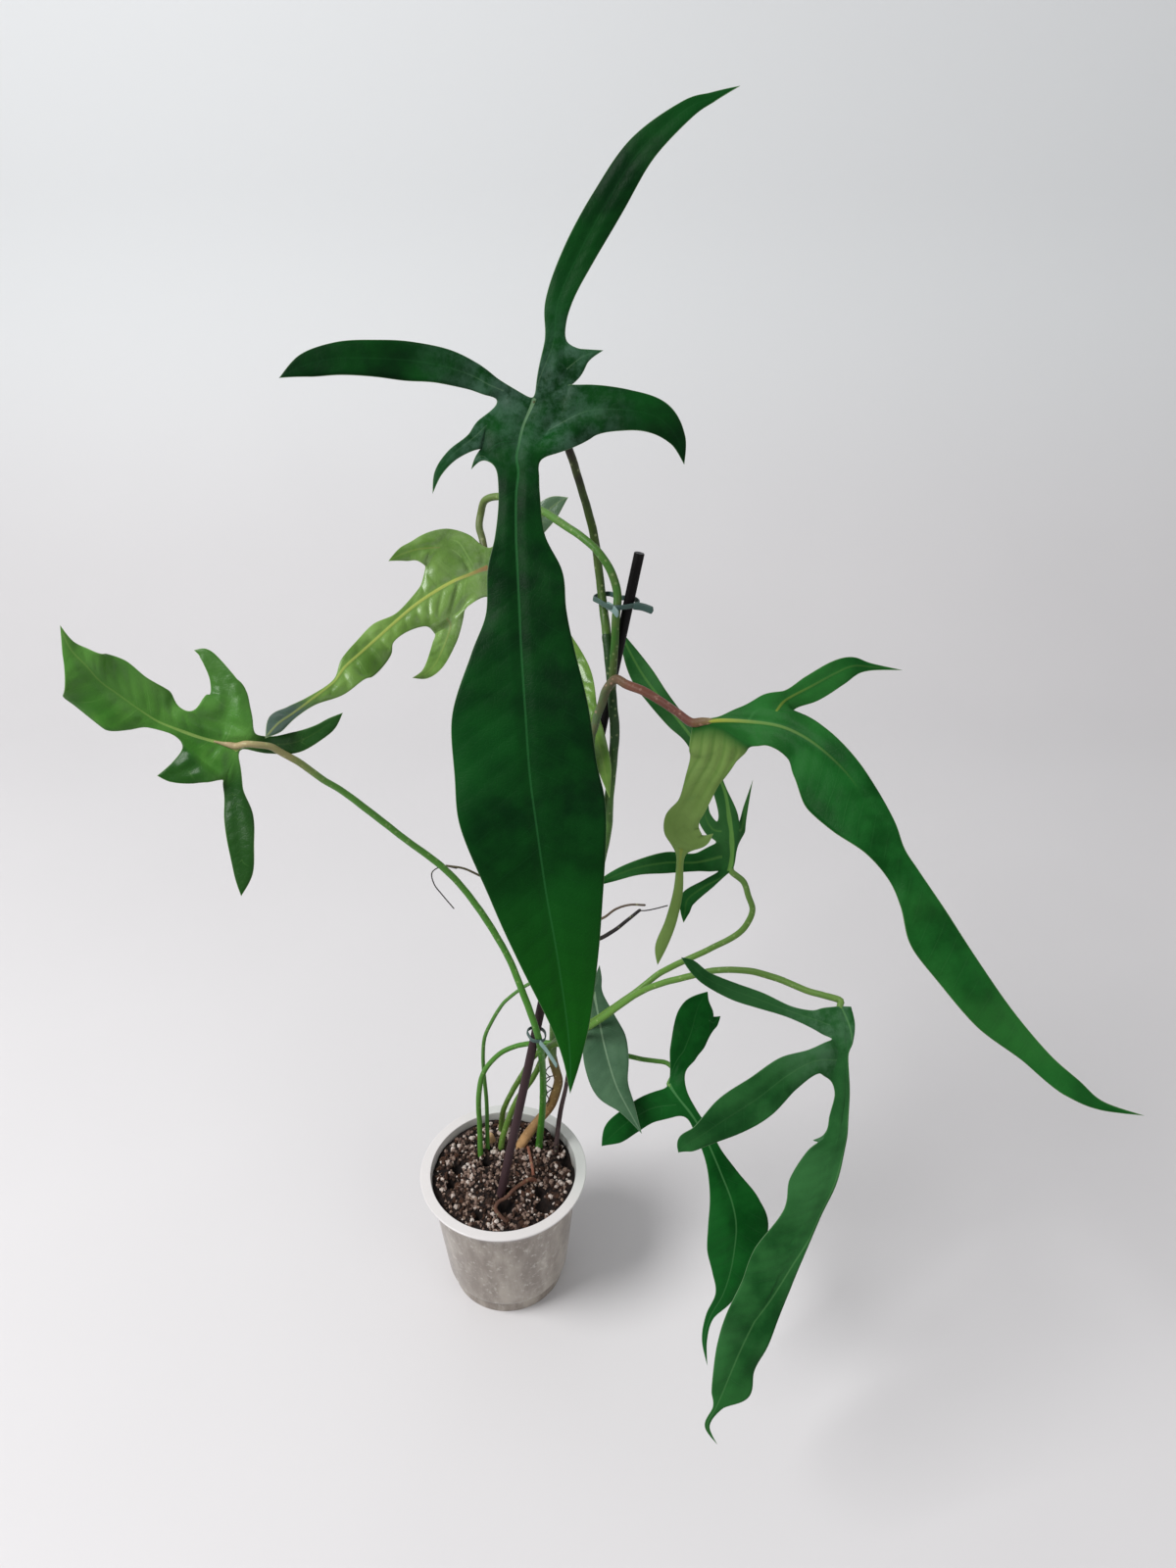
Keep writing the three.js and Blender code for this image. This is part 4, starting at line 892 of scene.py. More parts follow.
rightLargeLeaf = leafOf(
    veinSpacing=10.0, ribRise=0.7, ribHalf=1.5, rib=(1.0, 0.0, 0.34),
    rows=[
        (118, -7, 487, 2, 2), (131, -13, 492, 2, 3), (145, -21, 496, 9, 12.5, 0, 3.5),
        (159, -30, 499, 7, 11.5, 0.5, -0.5), (169, -38, 499, 10.5, 14, -4, 3),
        (179, -49, 497, 10, 20, -2.5, 1.5), (190, -61, 491, 8.5, 26.5, -1, 2),
        (199, -73, 483, 7.5, 23, 1, 6), (209, -86, 473, 5, 16, -0.5, 5.5), (216, -94, 465, 1.5, 13.5, 0, 7),
        (223, -101, 457, 1, 16.5, 0, 9), (235, -114, 443, 1, 22.5, 0, 4.5), (248, -129, 427, 1, 21, 0, 0.5),
        (265, -145, 407, 1, 18, 0, -3.5), (282, -159, 391, 1, 10.5, 0, -4.5), (295, -169, 383, 1, 9, 0, -1),
        (307, -174, 374, 1, 3.5), (326, -179, 371, 0, 0),
    ],
    lobes=[
        {
            "from": "left", "span": (2, 4),
            "rows": [
                (167, -13, 505, 5, 7), (180, -8, 510, 6, 8.5), (194, -2, 515, 6.5, 7.5),
                (203, 0, 518, 5, 5.5), (213, 1, 517, 2, 2), (231, 3, 514, 0, 0),
            ],
        },
        {
            "from": "right", "span": (0, 2), "mark": (0.0, 0.7, 1.0), "rib": (0.0, 0.0),
            "rows": [
                (131, -15, 468, 10.5, 14.5, -1, 0.5), (125, -18, 456, 8.5, 9.5, -3.5, 5),
                (119, -22, 445, 8.5, 7.5, -3, 3), (114, -26, 436, 9, 10, -2.5, 2),
                (114, -28, 428, 9.5, 9.5, 2, -2), (120, -30, 424, 5.5, 5.5, 3, -2.5),
                (126, -29, 424, 3.5, 3), (131, -28, 428, 0, 0),
            ],
            "lobes": [
                {
                    "from": "right", "span": (5.5, 6), "mark": (-1.0, 0.0, 1.0), "rib": (0.3, 0.0),
                    "rows": [
                        (113, -31, 410, 2, 2), (112, -36, 393, 3, 2.5), (108, -44, 378, 3.5, 3),
                        (103, -50, 364, 3, 3.5), (101, -54, 354, 0, 0),
                    ],
                },
            ],
        },
    ],
)
rightBackLeaf = leafOf(
    veinSpacing=9.0, rib=(0.9, 0.2),
    rows=[
        (149, 13, 371, 6, 1.5), (150, 26, 383, 7, 3.5), (149, 38, 392, 6, 6), (146, 54, 405, 7.5, 1.5),
        (137, 69, 416, 7.5, 4), (127, 82, 425, 5, 4.5, -1, 0), (118, 94, 432, 7.5, 5, -1.5, 0),
        (107, 104, 442, 8, 6), (97, 114, 452, 8, 7, 1, 0), (89, 123, 463, 5, 5, 1, 0), (81, 135, 476, 0, 0),
    ],
    lobes=[
        {
            "from": "left", "span": (0, 1),
            "rows": [
                (127, 12, 378, 5.5, 5.5), (109, 9, 380, 6.5, 6.5), (91, 4, 380, 4.5, 4.5),
                (76, -1, 377, 3, 3), (61, -7, 373, 0, 0),
            ],
        },
        {
            "from": "left", "span": (1, 2),
            "rows": [(138, 33, 388, 5, 5), (134, 39, 394, 4.5, 3.5), (136, 45, 400, 0, 0)],
        },
        {
            "from": "right", "span": (1, 2),
            "rows": [(157, 37, 386, 3, 2.5), (160, 47, 395, 1.5, 1.5), (165, 60, 407, 0, 0)],
        },
        {
            "from": "baseLeft",
            "rows": [
                (135, 11, 362, 3.5, 3.5), (123, 7, 354, 5, 5), (121, 3, 347, 3, 3), (120, -2, 342, 0, 0),
            ],
        },
    ],
)
rightHangingLeaf = leafOf(
    veinSpacing=9.0, rib=(0.7, 0.35),
    ribPath=[(0, 0), (2, 0.9), (10.5, 0.9), (12, 0.3), (13, 0), (19, -0.1)],
    rows=[
        (208, -59, 327, 6, 10.5, 1.5, -1), (210, -66, 319, 6, 8, 1, -0.5), (210, -73, 313, 4.5, 5, 1, -1),
        (210, -79, 307, 1.5, 5.5, -0.5, 2.5), (209, -86, 300, 2.5, 7, 1, 3.5), (209, -92, 290, 3, 6, 1.5, 1),
        (207, -100, 279, 4, 7, 0.5, 0.5), (205, -106, 270, 5.5, 7, 0.5, 1.5),
        (201, -111, 261, 7.5, 13, 0.5, 1.5), (194, -120, 246, 9.5, 16, -1, 4),
        (186, -129, 230, 9.5, 12.5, -1, 1.5), (176, -140, 209, 9.5, 18, -2.5, 4),
        (168, -150, 191, 10, 17.5, -4, 4), (158, -160, 175, 12, 17, -4.5, 3),
        (151, -167, 160, 13, 14, -4.5, 3), (145, -174, 146, 12.5, 10.5, -5, 2.5),
        (140, -180, 134, 14.5, 6.5, -5.5, 1.5), (136, -185, 128, 3.5, 2, -1, 0), (131, -190, 118, 1.5, 1.5),
        (137, -195, 107, 0, 0),
    ],
    lobes=[
        {
            "from": "right", "span": (0, 2),
            "rows": [
                (194, -62, 319, 6, 5, -2, 1.5), (180, -56, 320, 4, 3), (163, -51, 324, 5, 4.5),
                (147, -47, 328, 5.5, 4.5), (131, -43, 334, 4, 4), (122, -39, 341, 3, 3),
                (116, -37, 345, 0, 0),
            ],
        },
        {
            "from": "right", "span": (2, 4),
            "rows": [
                (190, -86, 310, 7.5, 7, -1.5, 1), (174, -94, 307, 10, 11), (157, -104, 300, 12, 12),
                (139, -114, 295, 11, 11), (124, -122, 290, 7, 6.5, -0.5, 1), (115, -127, 288, 4.5, 5.5),
                (111, -129, 284, 0, 0),
            ],
        },
        {"from": "right", "span": (7, 7.5), "rows": [(194, -107, 268, 1.5, 1), (189, -107, 268, 0, 0)]},
    ],
)
lowMiddleLeaf = leafOf(
    veinSpacing=9.0, rib=(0.9, 0.2),
    rows=[
        (115, -15, 213, 12.5, 4, 0.5, 0), (122, -22, 207, 7.5, 4, -1.5, 0), (130, -28, 199, 4.5, 3, 0, -3),
        (138, -35, 188, 5.5, 5, 0.5, -1.5), (144, -43, 178, 6.5, 6, 1, -1),
        (150, -51, 166, 11.5, 8.5, 4, -3.5), (156, -61, 154, 18, 13.5, 5, -4.5),
        (159, -70, 141, 21.5, 18.5, 1.5, -1), (158, -78, 126, 18.5, 18, -2, 2),
        (155, -87, 113, 12, 11.5, -2, 2), (150, -95, 101, 8, 5), (142, -102, 88, 2.5, 3),
        (138, -111, 76, 2, 1.5), (140, -121, 63, 0, 0),
    ],
    lobes=[
        {
            "from": "baseLeft",
            "rows": [
                (125, 1, 226, 9.5, 9.5), (131, 12, 236, 12.5, 12.5, 1.5, -1.5),
                (135, 20, 248, 10.5, 5.5, 1, 5.5), (142, 27, 258, 0, 0),
            ],
            "lobes": [
                {
                    "from": "right", "span": (2, 3),
                    "rows": [(146, 16, 240, 5.5, 4.5), (151, 20, 242, 0, 0)],
                },
            ],
        },
        {
            "from": "right", "span": (0, 2),
            "rows": [
                (103, -27, 204, 9, 9.5), (88, -36, 202, 9.5, 9), (77, -44, 198, 7, 8, -0.5, -1.5),
                (70, -48, 192, 0, 0),
            ],
        },
    ],
)
lowGreyLeaf = leafOf(
    veinSpacing=8.0, rib=(0.9, 0.3),
    rows=[
        (65, 19.5, 264, 5, 4), (68, 8.5, 254, 10, 7), (71, -4, 244.5, 15, 13.5), (75, -16, 234.5, 13.5, 16),
        (80, -27, 224.5, 8, 14.5), (87, -37, 215.5, 5, 5.5), (96, -48.5, 204.5, 0, 0),
    ],
    lobes=[
        {"from": "baseLeft", "rows": [(68, 28.5, 268, 2.5, 2.5), (69, 35.5, 274, 0, 0)]},
    ],
)

# piece name, CAD node, material slot, table, upper look, under look
leafPieces = [
    ("blade_top", "leaf_top", "leaf_dark", topLeaf, "dark", "dark"),
    ("blade_left_middle", "leaf_left_middle", "leaf_light", leftMiddleLeaf, "light", "light"),
    ("blade_left_low", "leaf_left_low", "leaf_fresh", leftLowLeaf, "fresh", "light"),
    ("blade_right_large", "leaf_right_large", "leaf_dark", rightLargeLeaf, "mid", "dark"),
    ("blade_right_back", "leaf_right_back", "leaf_dark", rightBackLeaf, "back", "dark"),
    ("blade_right_hanging", "leaf_right_hanging", "leaf_dark", rightHangingLeaf, "hanging", "dark"),
    ("blade_low_middle", "leaf_low_middle", "leaf_dark", lowMiddleLeaf, "low", "dark"),
    ("blade_low_grey", "leaf_low_grey", "leaf_grey", lowGreyLeaf, "grey", "dark"),
]
for name, nodeName, slotName, leaf, upperKey, underKey in leafPieces:
    makeLeaf(name, nodeName, leaf, [leafMaterials[upperKey], underMaterials[underKey]])
print("leaves ready")


# Stalks, stems and roots

# radii are at the route's first and last point, and ridge is the height of the waves. On a leaf's stalk,
# run is how many rows of the blade its end follows, and sink how far its axis lies off the blade there, as
# a share of the last radius; sheath is the shares of the length between which a thicker foot fades, and
# how many times thicker it is
stalkBasics = {"slot": "stalk_green", "ridge": 0.1, "sink": 0.8, "step": 1.2, "sides": 20}
skinBasics = {
    "mottleScale": 60.0, "patchShare": 0.3, "patch": "4f7a35", "fleckScale": 260.0, "fleckShare": 0.15,
    "fleck": "cfd9a0", "bump": 0.3, "rough": 0.32,
}


def skinOf(**changes):
    return dict(skinBasics, **changes)


stalkLooks = {
    "petiole_top": skinOf(
        ramp=[(0.0, "3c5c24"), (0.3, "364a1e"), (0.5, "2c3c18"), (0.62, "261f17"), (1.0, "1e1812")],
        patch="4a5f26", patchShare=0.4, fleckShare=0.2, bump=0.4),
    "petiole_left_middle": skinOf(
        ramp=[(0.0, "20401a"), (0.16, "2f5f1c"), (0.4, "4a7630"), (0.7, "557c36"), (0.85, "57663a"),
              (1.0, "5f5a44")],
        patch="5a5a34", patchShare=0.4),
    "petiole_left_low": skinOf(
        ramp=[(0.0, "b0b684"), (0.04, "367020"), (0.5, "3f7824"), (0.84, "568c38"), (0.9, "8c8858"),
              (1.0, "9f8a6c")]),
    "petiole_right_large": skinOf(
        ramp=[(0.0, "3f5434"), (0.5, "485a3a"), (0.6, "744a3a"), (0.85, "683c33"), (1.0, "76863c")],
        patch="5f3a32", patchShare=0.4, fleck="b58a78", fleckShare=0.35, bump=0.8),
    "petiole_right_back": skinOf(
        ramp=[(0.0, "66823a"), (0.3, "4a6c24"), (0.75, "587c30"), (1.0, "62823e")]),
    "petiole_right_hanging": skinOf(
        ramp=[(0.0, "66823a"), (0.3, "4a6c24"), (0.7, "5a8032"), (1.0, "64823f")]),
    "petiole_low_middle": skinOf(
        ramp=[(0.0, "4c7a2e"), (0.5, "447828"), (1.0, "4c7a2e")]),
    "petiole_low_grey": skinOf(
        ramp=[(0.0, "3f6f28"), (0.5, "48782f"), (1.0, "5a8248")]),
    "vine_old_stem": skinOf(
        ramp=[(0.0, "bc966a"), (0.3, "b08a5e"), (0.6, "85693f"), (1.0, "686238")],
        patch="6f5334", patchShare=0.5, fleck="d8bc90", fleckShare=0.25, bump=0.9, rough=0.6),
    "vine_knuckle": skinOf(
        ramp=[(0.0, "a8845c"), (1.0, "c4a07a")], patch="8a6a48", patchShare=0.5, bump=0.9, rough=0.6),
    "vine_stem": skinOf(
        ramp=[(0.0, "5a7440"), (0.4, "5c8240"), (0.65, "4a7030"), (0.8, "20401a"), (1.0, "1a3814")],
        patch="223c1c", patchShare=0.4, bump=0.5),
    "root_down": skinOf(
        ramp=[(0.0, "4a3a3a"), (0.5, "4d3f40"), (1.0, "5a4a3c")], patch="2f2626", patchShare=0.5, bump=0.8,
        rough=0.55),
    "root_left": skinOf(
        ramp=[(0.0, "3a3a28"), (0.5, "4a4632"), (1.0, "5c5440")], patch="26261c", patchShare=0.5, rough=0.6),
    "root_right_thick": skinOf(
        ramp=[(0.0, "2f2a28"), (1.0, "1f1c1c")], patch="151313", patchShare=0.5, rough=0.6),
    "root_right_thin": skinOf(
        ramp=[(0.0, "6a5a48"), (1.0, "4a4038")], patch="3a3028", patchShare=0.5, rough=0.6),
    "root_loop": skinOf(
        ramp=[(0.0, "8a5a48"), (0.4, "6f4c3c"), (1.0, "4f382e")], patch="3a2a24", patchShare=0.6, bump=0.9,
        rough=0.65),
}

stalkPieces = {
    "petiole_top": {
        "leaf": topLeaf, "radii": (2.6, 2.1), "run": 1.0, "slot": "stalk_dark", "ridge": 0.12,
        "route": [
            (72, 53, 510.9), (71, 62, 516), (68, 76, 536), (65, 84, 557), (61, 84, 574), (56, 80, 593),
            (50, 71, 615), (42, 64, 633),
        ],
    },
    "petiole_left_middle": {
        "leaf": leftMiddleLeaf, "radii": (2.4, 2.2), "run": 0.5,
        "route": [
            (75, 38.6, 482), (75.4, 40.5, 492), (76, 43.2, 502), (76.6, 46, 512), (77, 50, 523),
            (78, 56, 533), (75, 62, 544), (68, 68, 554), (58, 78, 560), (46, 92, 563), (35, 106, 565),
            (20, 121, 566), (6, 132, 565), (-2, 136, 561), (-5, 138, 552), (-6, 134, 545), (-4, 130, 538),
        ],
    },
    "petiole_left_low": {
        "leaf": leftLowLeaf, "radii": (2.5, 1.9), "sink": 0.3, "run": 1.0,
        "sheath": (0.0, 0.06, 1.5), "inFront": True,
        "route": [
            (25, 22.5, 86), (25, 23, 108.5), (27, 21, 132), (29, 18, 161), (30, 4, 215.5),
            (27.5, -3.3, 251), (19, 4, 278), (9, 13, 303), (-11, 19, 342), (-27, 19, 367), (-49, 15, 393),
            (-81, 7, 433), (-90.5, 3, 444), (-101, -2, 458.5), (-109.5, -6, 468), (-113.5, -8, 472.5),
            (-120, -11, 475.5), (-126, -12, 476.5),
        ],
    },
    "petiole_right_large": {
        "leaf": rightLargeLeaf, "radii": (2.6, 2.4), "sink": 0.1, "run": 1.5, "slot": "stalk_dark",
        "ridge": 0.35,
        "route": [
            (68, 31, 407), (64, 26, 432), (62.5, 27, 453), (65, 29, 464), (68, 31, 474), (72, 33, 486),
            (77, 32, 493), (83, 26, 493), (92, 20, 492), (101, 13, 490), (109, 5, 488),
        ],
    },
    "petiole_right_back": {
        "leaf": rightBackLeaf, "radii": (2.2, 1.9), "run": 0.5,
        "route": [
            (-4, 22, 88), (-3, 22, 110), (2, 25, 130), (10, 26, 153), (22, 23, 179), (34, 16, 215),
            (48, 6.5, 239.5), (64, 1, 255.5), (76, 1, 266.5), (93, 4, 280), (107, 8, 291), (118, 6, 301),
            (131, 5, 310), (143, 4, 319), (154, 3, 328), (160, 3, 337), (163, 6, 346), (160, 9, 355),
            (157, 12, 363),
        ],
    },
    "petiole_right_hanging": {
        "leaf": rightHangingLeaf, "radii": (2, 2), "run": 0.7,
        "route": [
            (-5, 42, 88), (-4, 38, 110), (-1, 34, 134), (7, 30, 159), (15, 25, 181), (24, 18, 206),
            (38, 7, 228.5), (55, -4, 250), (69, -9, 267), (93, -10, 291), (107, -14, 303), (125, -19, 314),
            (138, -22, 321), (150, -27, 326), (161, -32, 329), (176, -39, 329), (190, -47, 328),
            (199, -51, 328), (209, -55, 327),
        ],
    },
    "petiole_low_middle": {
        "leaf": lowMiddleLeaf, "radii": (2, 1.6), "run": 0.7,
        "route": [
            (-18, 13, 85), (-18, 15, 104), (-18, 23, 132), (-18, 26, 152), (-15, 30, 172), (-10, 31, 183),
            (0, 32, 195), (10, 32, 201), (21, 29, 207), (31, 24, 213), (41, 21, 214), (51, 19, 215),
            (68, 12, 218), (90, 4.5, 219.5), (98, 3.5, 218), (106.5, 2.5, 217.5), (114.5, 1, 217),
            (119, -4, 215),
        ],
    },
    "petiole_low_grey": {
        "leaf": lowGreyLeaf, "radii": (1.6, 1.1), "run": 0.4, "ridge": 0.05,
        "route": [
            (-12, 19, 85), (-13, 20, 104), (-13, 24, 118), (-13, 32, 146), (-14, 36, 170), (-14, 38, 185),
            (-12, 39, 203), (-7, 40, 216), (-1, 41, 228), (4, 41, 236), (24, 41, 254), (45, 40, 261),
            (56, 37, 263), (62, 31, 264),
        ],
    },
    "vine_old_stem": {
        "radii": (3.8, 3.2), "slot": "old_stem", "ridge": 0.3,
        "route": [
            (2, 21, 86), (10, 23.5, 104), (16, 25, 116), (25, 28, 129.5), (33, 29.5, 141), (37, 29, 154.5),
            (40, 29.5, 170), (38, 29, 182), (36, 29, 192.8),
        ],
    },
    "vine_stem": {
        "radii": (3, 2.7), "ridge": 0.25,
        "route": [
            (36, 29, 194), (37, 32, 213), (38, 32, 227), (50, 32, 281), (61, 32, 331), (69, 33, 362),
            (73, 34, 384), (74, 33, 410), (76, 35, 434), (77, 36, 455), (76, 36, 470), (75, 39, 482),
            (74, 42, 491), (73, 47, 503), (72, 52, 510),
        ],
    },
    "root_down": {
        "radii": (1.9, 1.2), "slot": "aerial_root", "ridge": 0.15,
        "route": [
            (36, 19, 86), (37, 20, 102), (39, 23, 123), (41, 25, 141), (45, 27, 163), (48, 29, 184),
            (50, 30, 201), (53, 31, 238), (56, 32, 272),
        ],
    },
    "root_left": {
        "radii": (1, 0.7), "slot": "aerial_root",
        "route": [(58, 31, 334), (36, 31, 336), (11, 32, 346), (-5, 31, 352), (-17, 32, 358), (-28, 31, 361)],
    },
    "root_right_thick": {
        "radii": (1.4, 1.1), "slot": "aerial_root", "ridge": 0.15,
        "route": [(56.9, 29.8, 298), (70, 26, 306), (79, 25, 314), (88, 23, 325), (94, 21, 333)],
    },
    "root_right_thin": {
        "radii": (0.9, 0.7), "slot": "aerial_root",
        "route": [(60.8, 30.1, 315.5), (71, 27, 322), (79, 26, 330), (88, 23, 336), (97, 19, 339)],
    },
    "root_loop": {
        "radii": (1.6, 1.2), "slot": "old_stem", "ridge": 0.25,
        "route": [
            (24, -6, 104), (19, -9, 109.5), (12, -14, 109.5), (7, -19.5, 109.5), (3, -24.5, 109),
            (-2, -28, 108.8), (-4, -33, 108.3), (0, -38, 107), (7, -42, 103),
        ],
    },
    "vine_knuckle": {
        "radii": (3.2, 2.6), "slot": "old_stem", "ridge": 0.3,
        "route": [(-6, 30, 88), (-10, 29, 104), (-11, 28, 112)],
    },
}


def stalkMaterial(name, look):
    # colour runs along the stalk by a ramp on its share of the length, under a mottle of patches and flecks
    material, tree = newMaterial(name)
    ramp = addNode(tree, "ShaderNodeValToRGB", {0: attributeValue(tree, "share")})
    elements = ramp.color_ramp.elements
    while len(elements) < len(look["ramp"]):
        elements.new(0.5)
    for element, (place, hexText) in zip(elements, look["ramp"]):
        element.position = place
        element.color = colour(hexText)
    mottle = noise(tree, look["mottleScale"], 5.0, 0.6)
    patch = multiply(tree, ease(tree, mottle, 0.42, 0.62), look["patchShare"])
    body = mixColours(tree, patch, ramp.outputs[0], look["patch"])
    dots = ease(tree, cellDistance(tree, look["fleckScale"]), 0.28, 0.14)
    body = mixColours(tree, multiply(tree, dots, look["fleckShare"]), body, look["fleck"])
    fine = noise(tree, 900.0, 4.0)
    bump = bumpOf(tree, multiplyAdd(tree, fine, 0.6, mottle), look["bump"], 0.0006)
    finish(tree, skinShader(tree, body, multiplyAdd(tree, fine, 0.25, look["rough"]), 0.25, bump))
    return material


def stalkLine(stalk):
    # a leaf's stalk ends behind or in front of the blade's midrib: it sinks into the blade and tapers along
    # it; the number of the route's own points is returned too
    route = list(stalk["route"])
    own = len(route)
    if "leaf" in stalk:
        rows = paddedRows(stalk["leaf"]["rows"])
        side = 1 if stalk.get("inFront") else -1
        for s in np.linspace(0, stalk["run"], 4):
            centre = rowsBetween(rows, np.array([s]))[0, :3]
            up = bladeFrame(rows, np.array([s]))[1][0]
            route.append(centre + side * up * stalk["radii"][1] * (stalk["sink"] + 0.1 * s))
    return route, own


def makeStalk(name, stalk):
    route, own = stalkLine(stalk)
    line, length = smoothRoute(route, stalk["step"])
    ownLength = smoothRoute(route[:own + 1], stalk["step"])[1]
    reach = np.linspace(0, length, len(line))
    first, last = stalk["radii"]
    radius = first + (last - first) * np.clip(reach / ownLength, 0, 1)
    if own < len(route):
        radius = radius * (1 - 0.75 * smoothStep(ownLength, length, reach))
    if "sheath" in stalk:
        low, high, gain = stalk["sheath"]
        radius = radius * (1 + (gain - 1) * (1 - smoothStep(low, high, reach / length)))
    seed = sum(map(ord, name))
    shift = np.random.default_rng(seed).uniform(0, 6.28, 4)

    def relief(angle, along):
        # slow waves round and along the stalk
        wave = np.sin(2 * angle + along / 9 + shift[0]) + 0.6 * np.sin(3 * angle - along / 5 + shift[1])
        return stalk["ridge"] * (0.5 * wave + 0.5 * np.sin(along / 2.3 + shift[2]) * np.sin(angle + shift[3]))

    points, faces, shares = tubeShell(line, radius, stalk["sides"], relief)
    material = stalkMaterial("skin_" + name, stalkLooks[name])
    piece = makeShell("grown_" + name, points, faces, material, [name])
    pointAttribute(piece, "share", shares)


for name, stalk in stalkPieces.items():
    makeStalk(name, dict(stalkBasics, **stalk))
print("stalks, stems and roots ready")

roots = {
    "fine_rootlets": {"radius": 0.4, "look": "root_right_thick", "slot": "aerial_root", "routes": [
        [(-21.7, 31, 359), (-30.2, 31, 360.6), (-37.3, 31, 355.9), (-36.8, 31, 346.5), (-31.8, 31, 337),
         (-25.5, 31, 326.5)],
        [(93.5, 19.5, 334), (98.5, 19, 334.7), (104.6, 19, 336.3), (111.4, 19, 338.6)],
        [(38.5, 28.5, 188), (33.4, 27.5, 185), (31.2, 27.5, 180), (33.9, 27.5, 174), (31, 27.5, 168),
         (36, 28, 162)],
        [(38.5, 28.5, 176), (31.8, 27.5, 174), (29.6, 27.5, 167), (31.5, 27.5, 159.9), (28.6, 27.5, 153.8)],
        [(36, 28, 163), (31.5, 26.5, 159), (32.8, 26.5, 152.9), (29.9, 26.5, 146.7)],
    ]},
    "surface_root": {"radius": 1.1, "look": "root_loop", "slot": "old_stem", "routes": [
        [(16, 24, 105), (17, 20, 108.5), (18, 15, 110), (19.5, 8, 110.2), (21, 0, 109.8), (22, -6, 106)],
    ]},
}


def makeRoots(name, look):
    # roots that have no solid: thin tubes along smooth routes, in one mesh
    points, quads, caps, count = [], [], [], 0
    for route in look["routes"]:
        line = smoothRoute(route, 0.8)[0]
        shell, (sideFaces, endFaces), _ = tubeShell(line, np.full(len(line), look["radius"]), 8)
        points.append(shell)
        quads.append(sideFaces + count)
        caps.append(endFaces + count)
        count += len(shell)
    material = stalkMaterial("skin_" + name, stalkLooks[look["look"]])
    piece = makeShell(name, np.vstack(points), [np.vstack(quads), np.vstack(caps)], material)
    pointAttribute(piece, "share", np.zeros(count))


for name, look in roots.items():
    makeRoots(name, look)
print("rootlets ready")


# Stake

stake = {
    "radius": 3.0, "bore": 2.1, "depth": 14.0, "footBevel": 0.4, "rimBevel": 0.3, "sides": 32,
    "top": (90, 60, 558), "foot": (-17.3, -33.2, 25),
    "body": ("050304", "0d090a"), "low": "3a2a2d", "lowRange": (0.4, 0.15), "ring": "6a6a6c",
}


def stakeMaterial():
    # plum-black coating, paler towards the soil and at the cut rim
    material, tree = newMaterial("stake_coating")
    body = mixColours(tree, noise(tree, 90.0, 5.0), *stake["body"])
    height = partsOf(tree, objectPlace(tree))[2]
    body = mixColours(tree, ease(tree, height, *stake["lowRange"]), body, stake["low"])
    body = mixColours(tree, ease(tree, attributeValue(tree, "share"), 0.5, 0.9), body, stake["ring"])
    fine = noise(tree, 700.0, 3.0)
    bump = bumpOf(tree, fine, 0.3, 0.0004)
    finish(tree, skinShader(tree, body, multiplyAdd(tree, fine, 0.25, 0.42), 0.15, bump))
    return material


def stakeAxis():
    foot, top = np.array(stake["foot"], float), np.array(stake["top"], float)
    return foot, unit(top - foot), np.linalg.norm(top - foot)


def makeStake():
    # a profile of (distance along the axis, radius) turned about the axis; the top is an open bore
    foot, axis, length = stakeAxis()
    side = unit(np.cross(axis, (0.0, 1.0, 0.0)))
    other = np.cross(axis, side)
    r, bore, low, rim = stake["radius"], stake["bore"], stake["footBevel"], stake["rimBevel"]
    floor, middle = length - stake["depth"], 0.001
    profile = [(0, middle), (0, r - low), (low, r)] + [(x, r) for x in np.linspace(8, length - 0.5, 60)]
    profile += [(length, r - rim), (length, bore + 0.2), (length - rim, bore), (floor, bore), (floor, middle)]
    profile = np.array(profile)
    angle = roundAngles(stake["sides"])
    ring = side[None] * np.cos(angle)[:, None] + other[None] * np.sin(angle)[:, None]
    points = foot + axis * profile[:, :1, None] + ring[None] * profile[:, 1:, None]
    faces = ringFaces(len(profile), stake["sides"])
    piece = makeShell(
        "stake_rod", points.reshape(-1, 3), [faces], stakeMaterial(), ["stake"])
    onRim = (profile[:, 0] > length - 1) & (profile[:, 1] < r) & (profile[:, 1] > 1)
    pointAttribute(piece, "share", np.repeat(onRim.astype(float), stake["sides"]))


makeStake()
print("stake ready")


# Ties

ties = {
    "loopColours": ("3a5650", "2a423c"), "flapColours": ("7c9490", "5d7c78"),
    "upper": {
        "width": 3.0, "thick": 0.9,
        "loop": [
            (64.5, 70, 526), (67, 64, 527), (75, 50.5, 529), (84, 49.6, 530), (90, 54, 530), (87, 60.5, 530),
            (80, 63, 529.5), (73, 74, 527), (67, 75, 525.5),
        ],
        # a flap is its route, width, thickness and skin
        "flaps": [
            ([(86.5, 50.8, 530), (92, 49, 530), (98, 46, 529)], 4.4, 1.0, 0),
            ([(71.5, 56.5, 528), (75.2, 50.4, 528.4), (78.5, 46.5, 526)], 4.4, 1.0, 1),
        ],
    },
    "lower": {
        "width": 2.6, "thick": 0.9,
        "loop": [
            (22.5, -0.5, 243), (24.5, -5, 244.5), (28.5, -6, 244.5), (32, -4, 243.5), (33, 1, 242.5),
            (31, 8, 241), (26, 10.5, 241), (22, 8, 242), (20.8, 4, 243),
        ],
        "flaps": [
            ([(29, -5.8, 244.2), (33, -9, 241), (37, -13, 237), (41, -16.5, 232)], 3.6, 1.0, 1),
        ],
    },
}


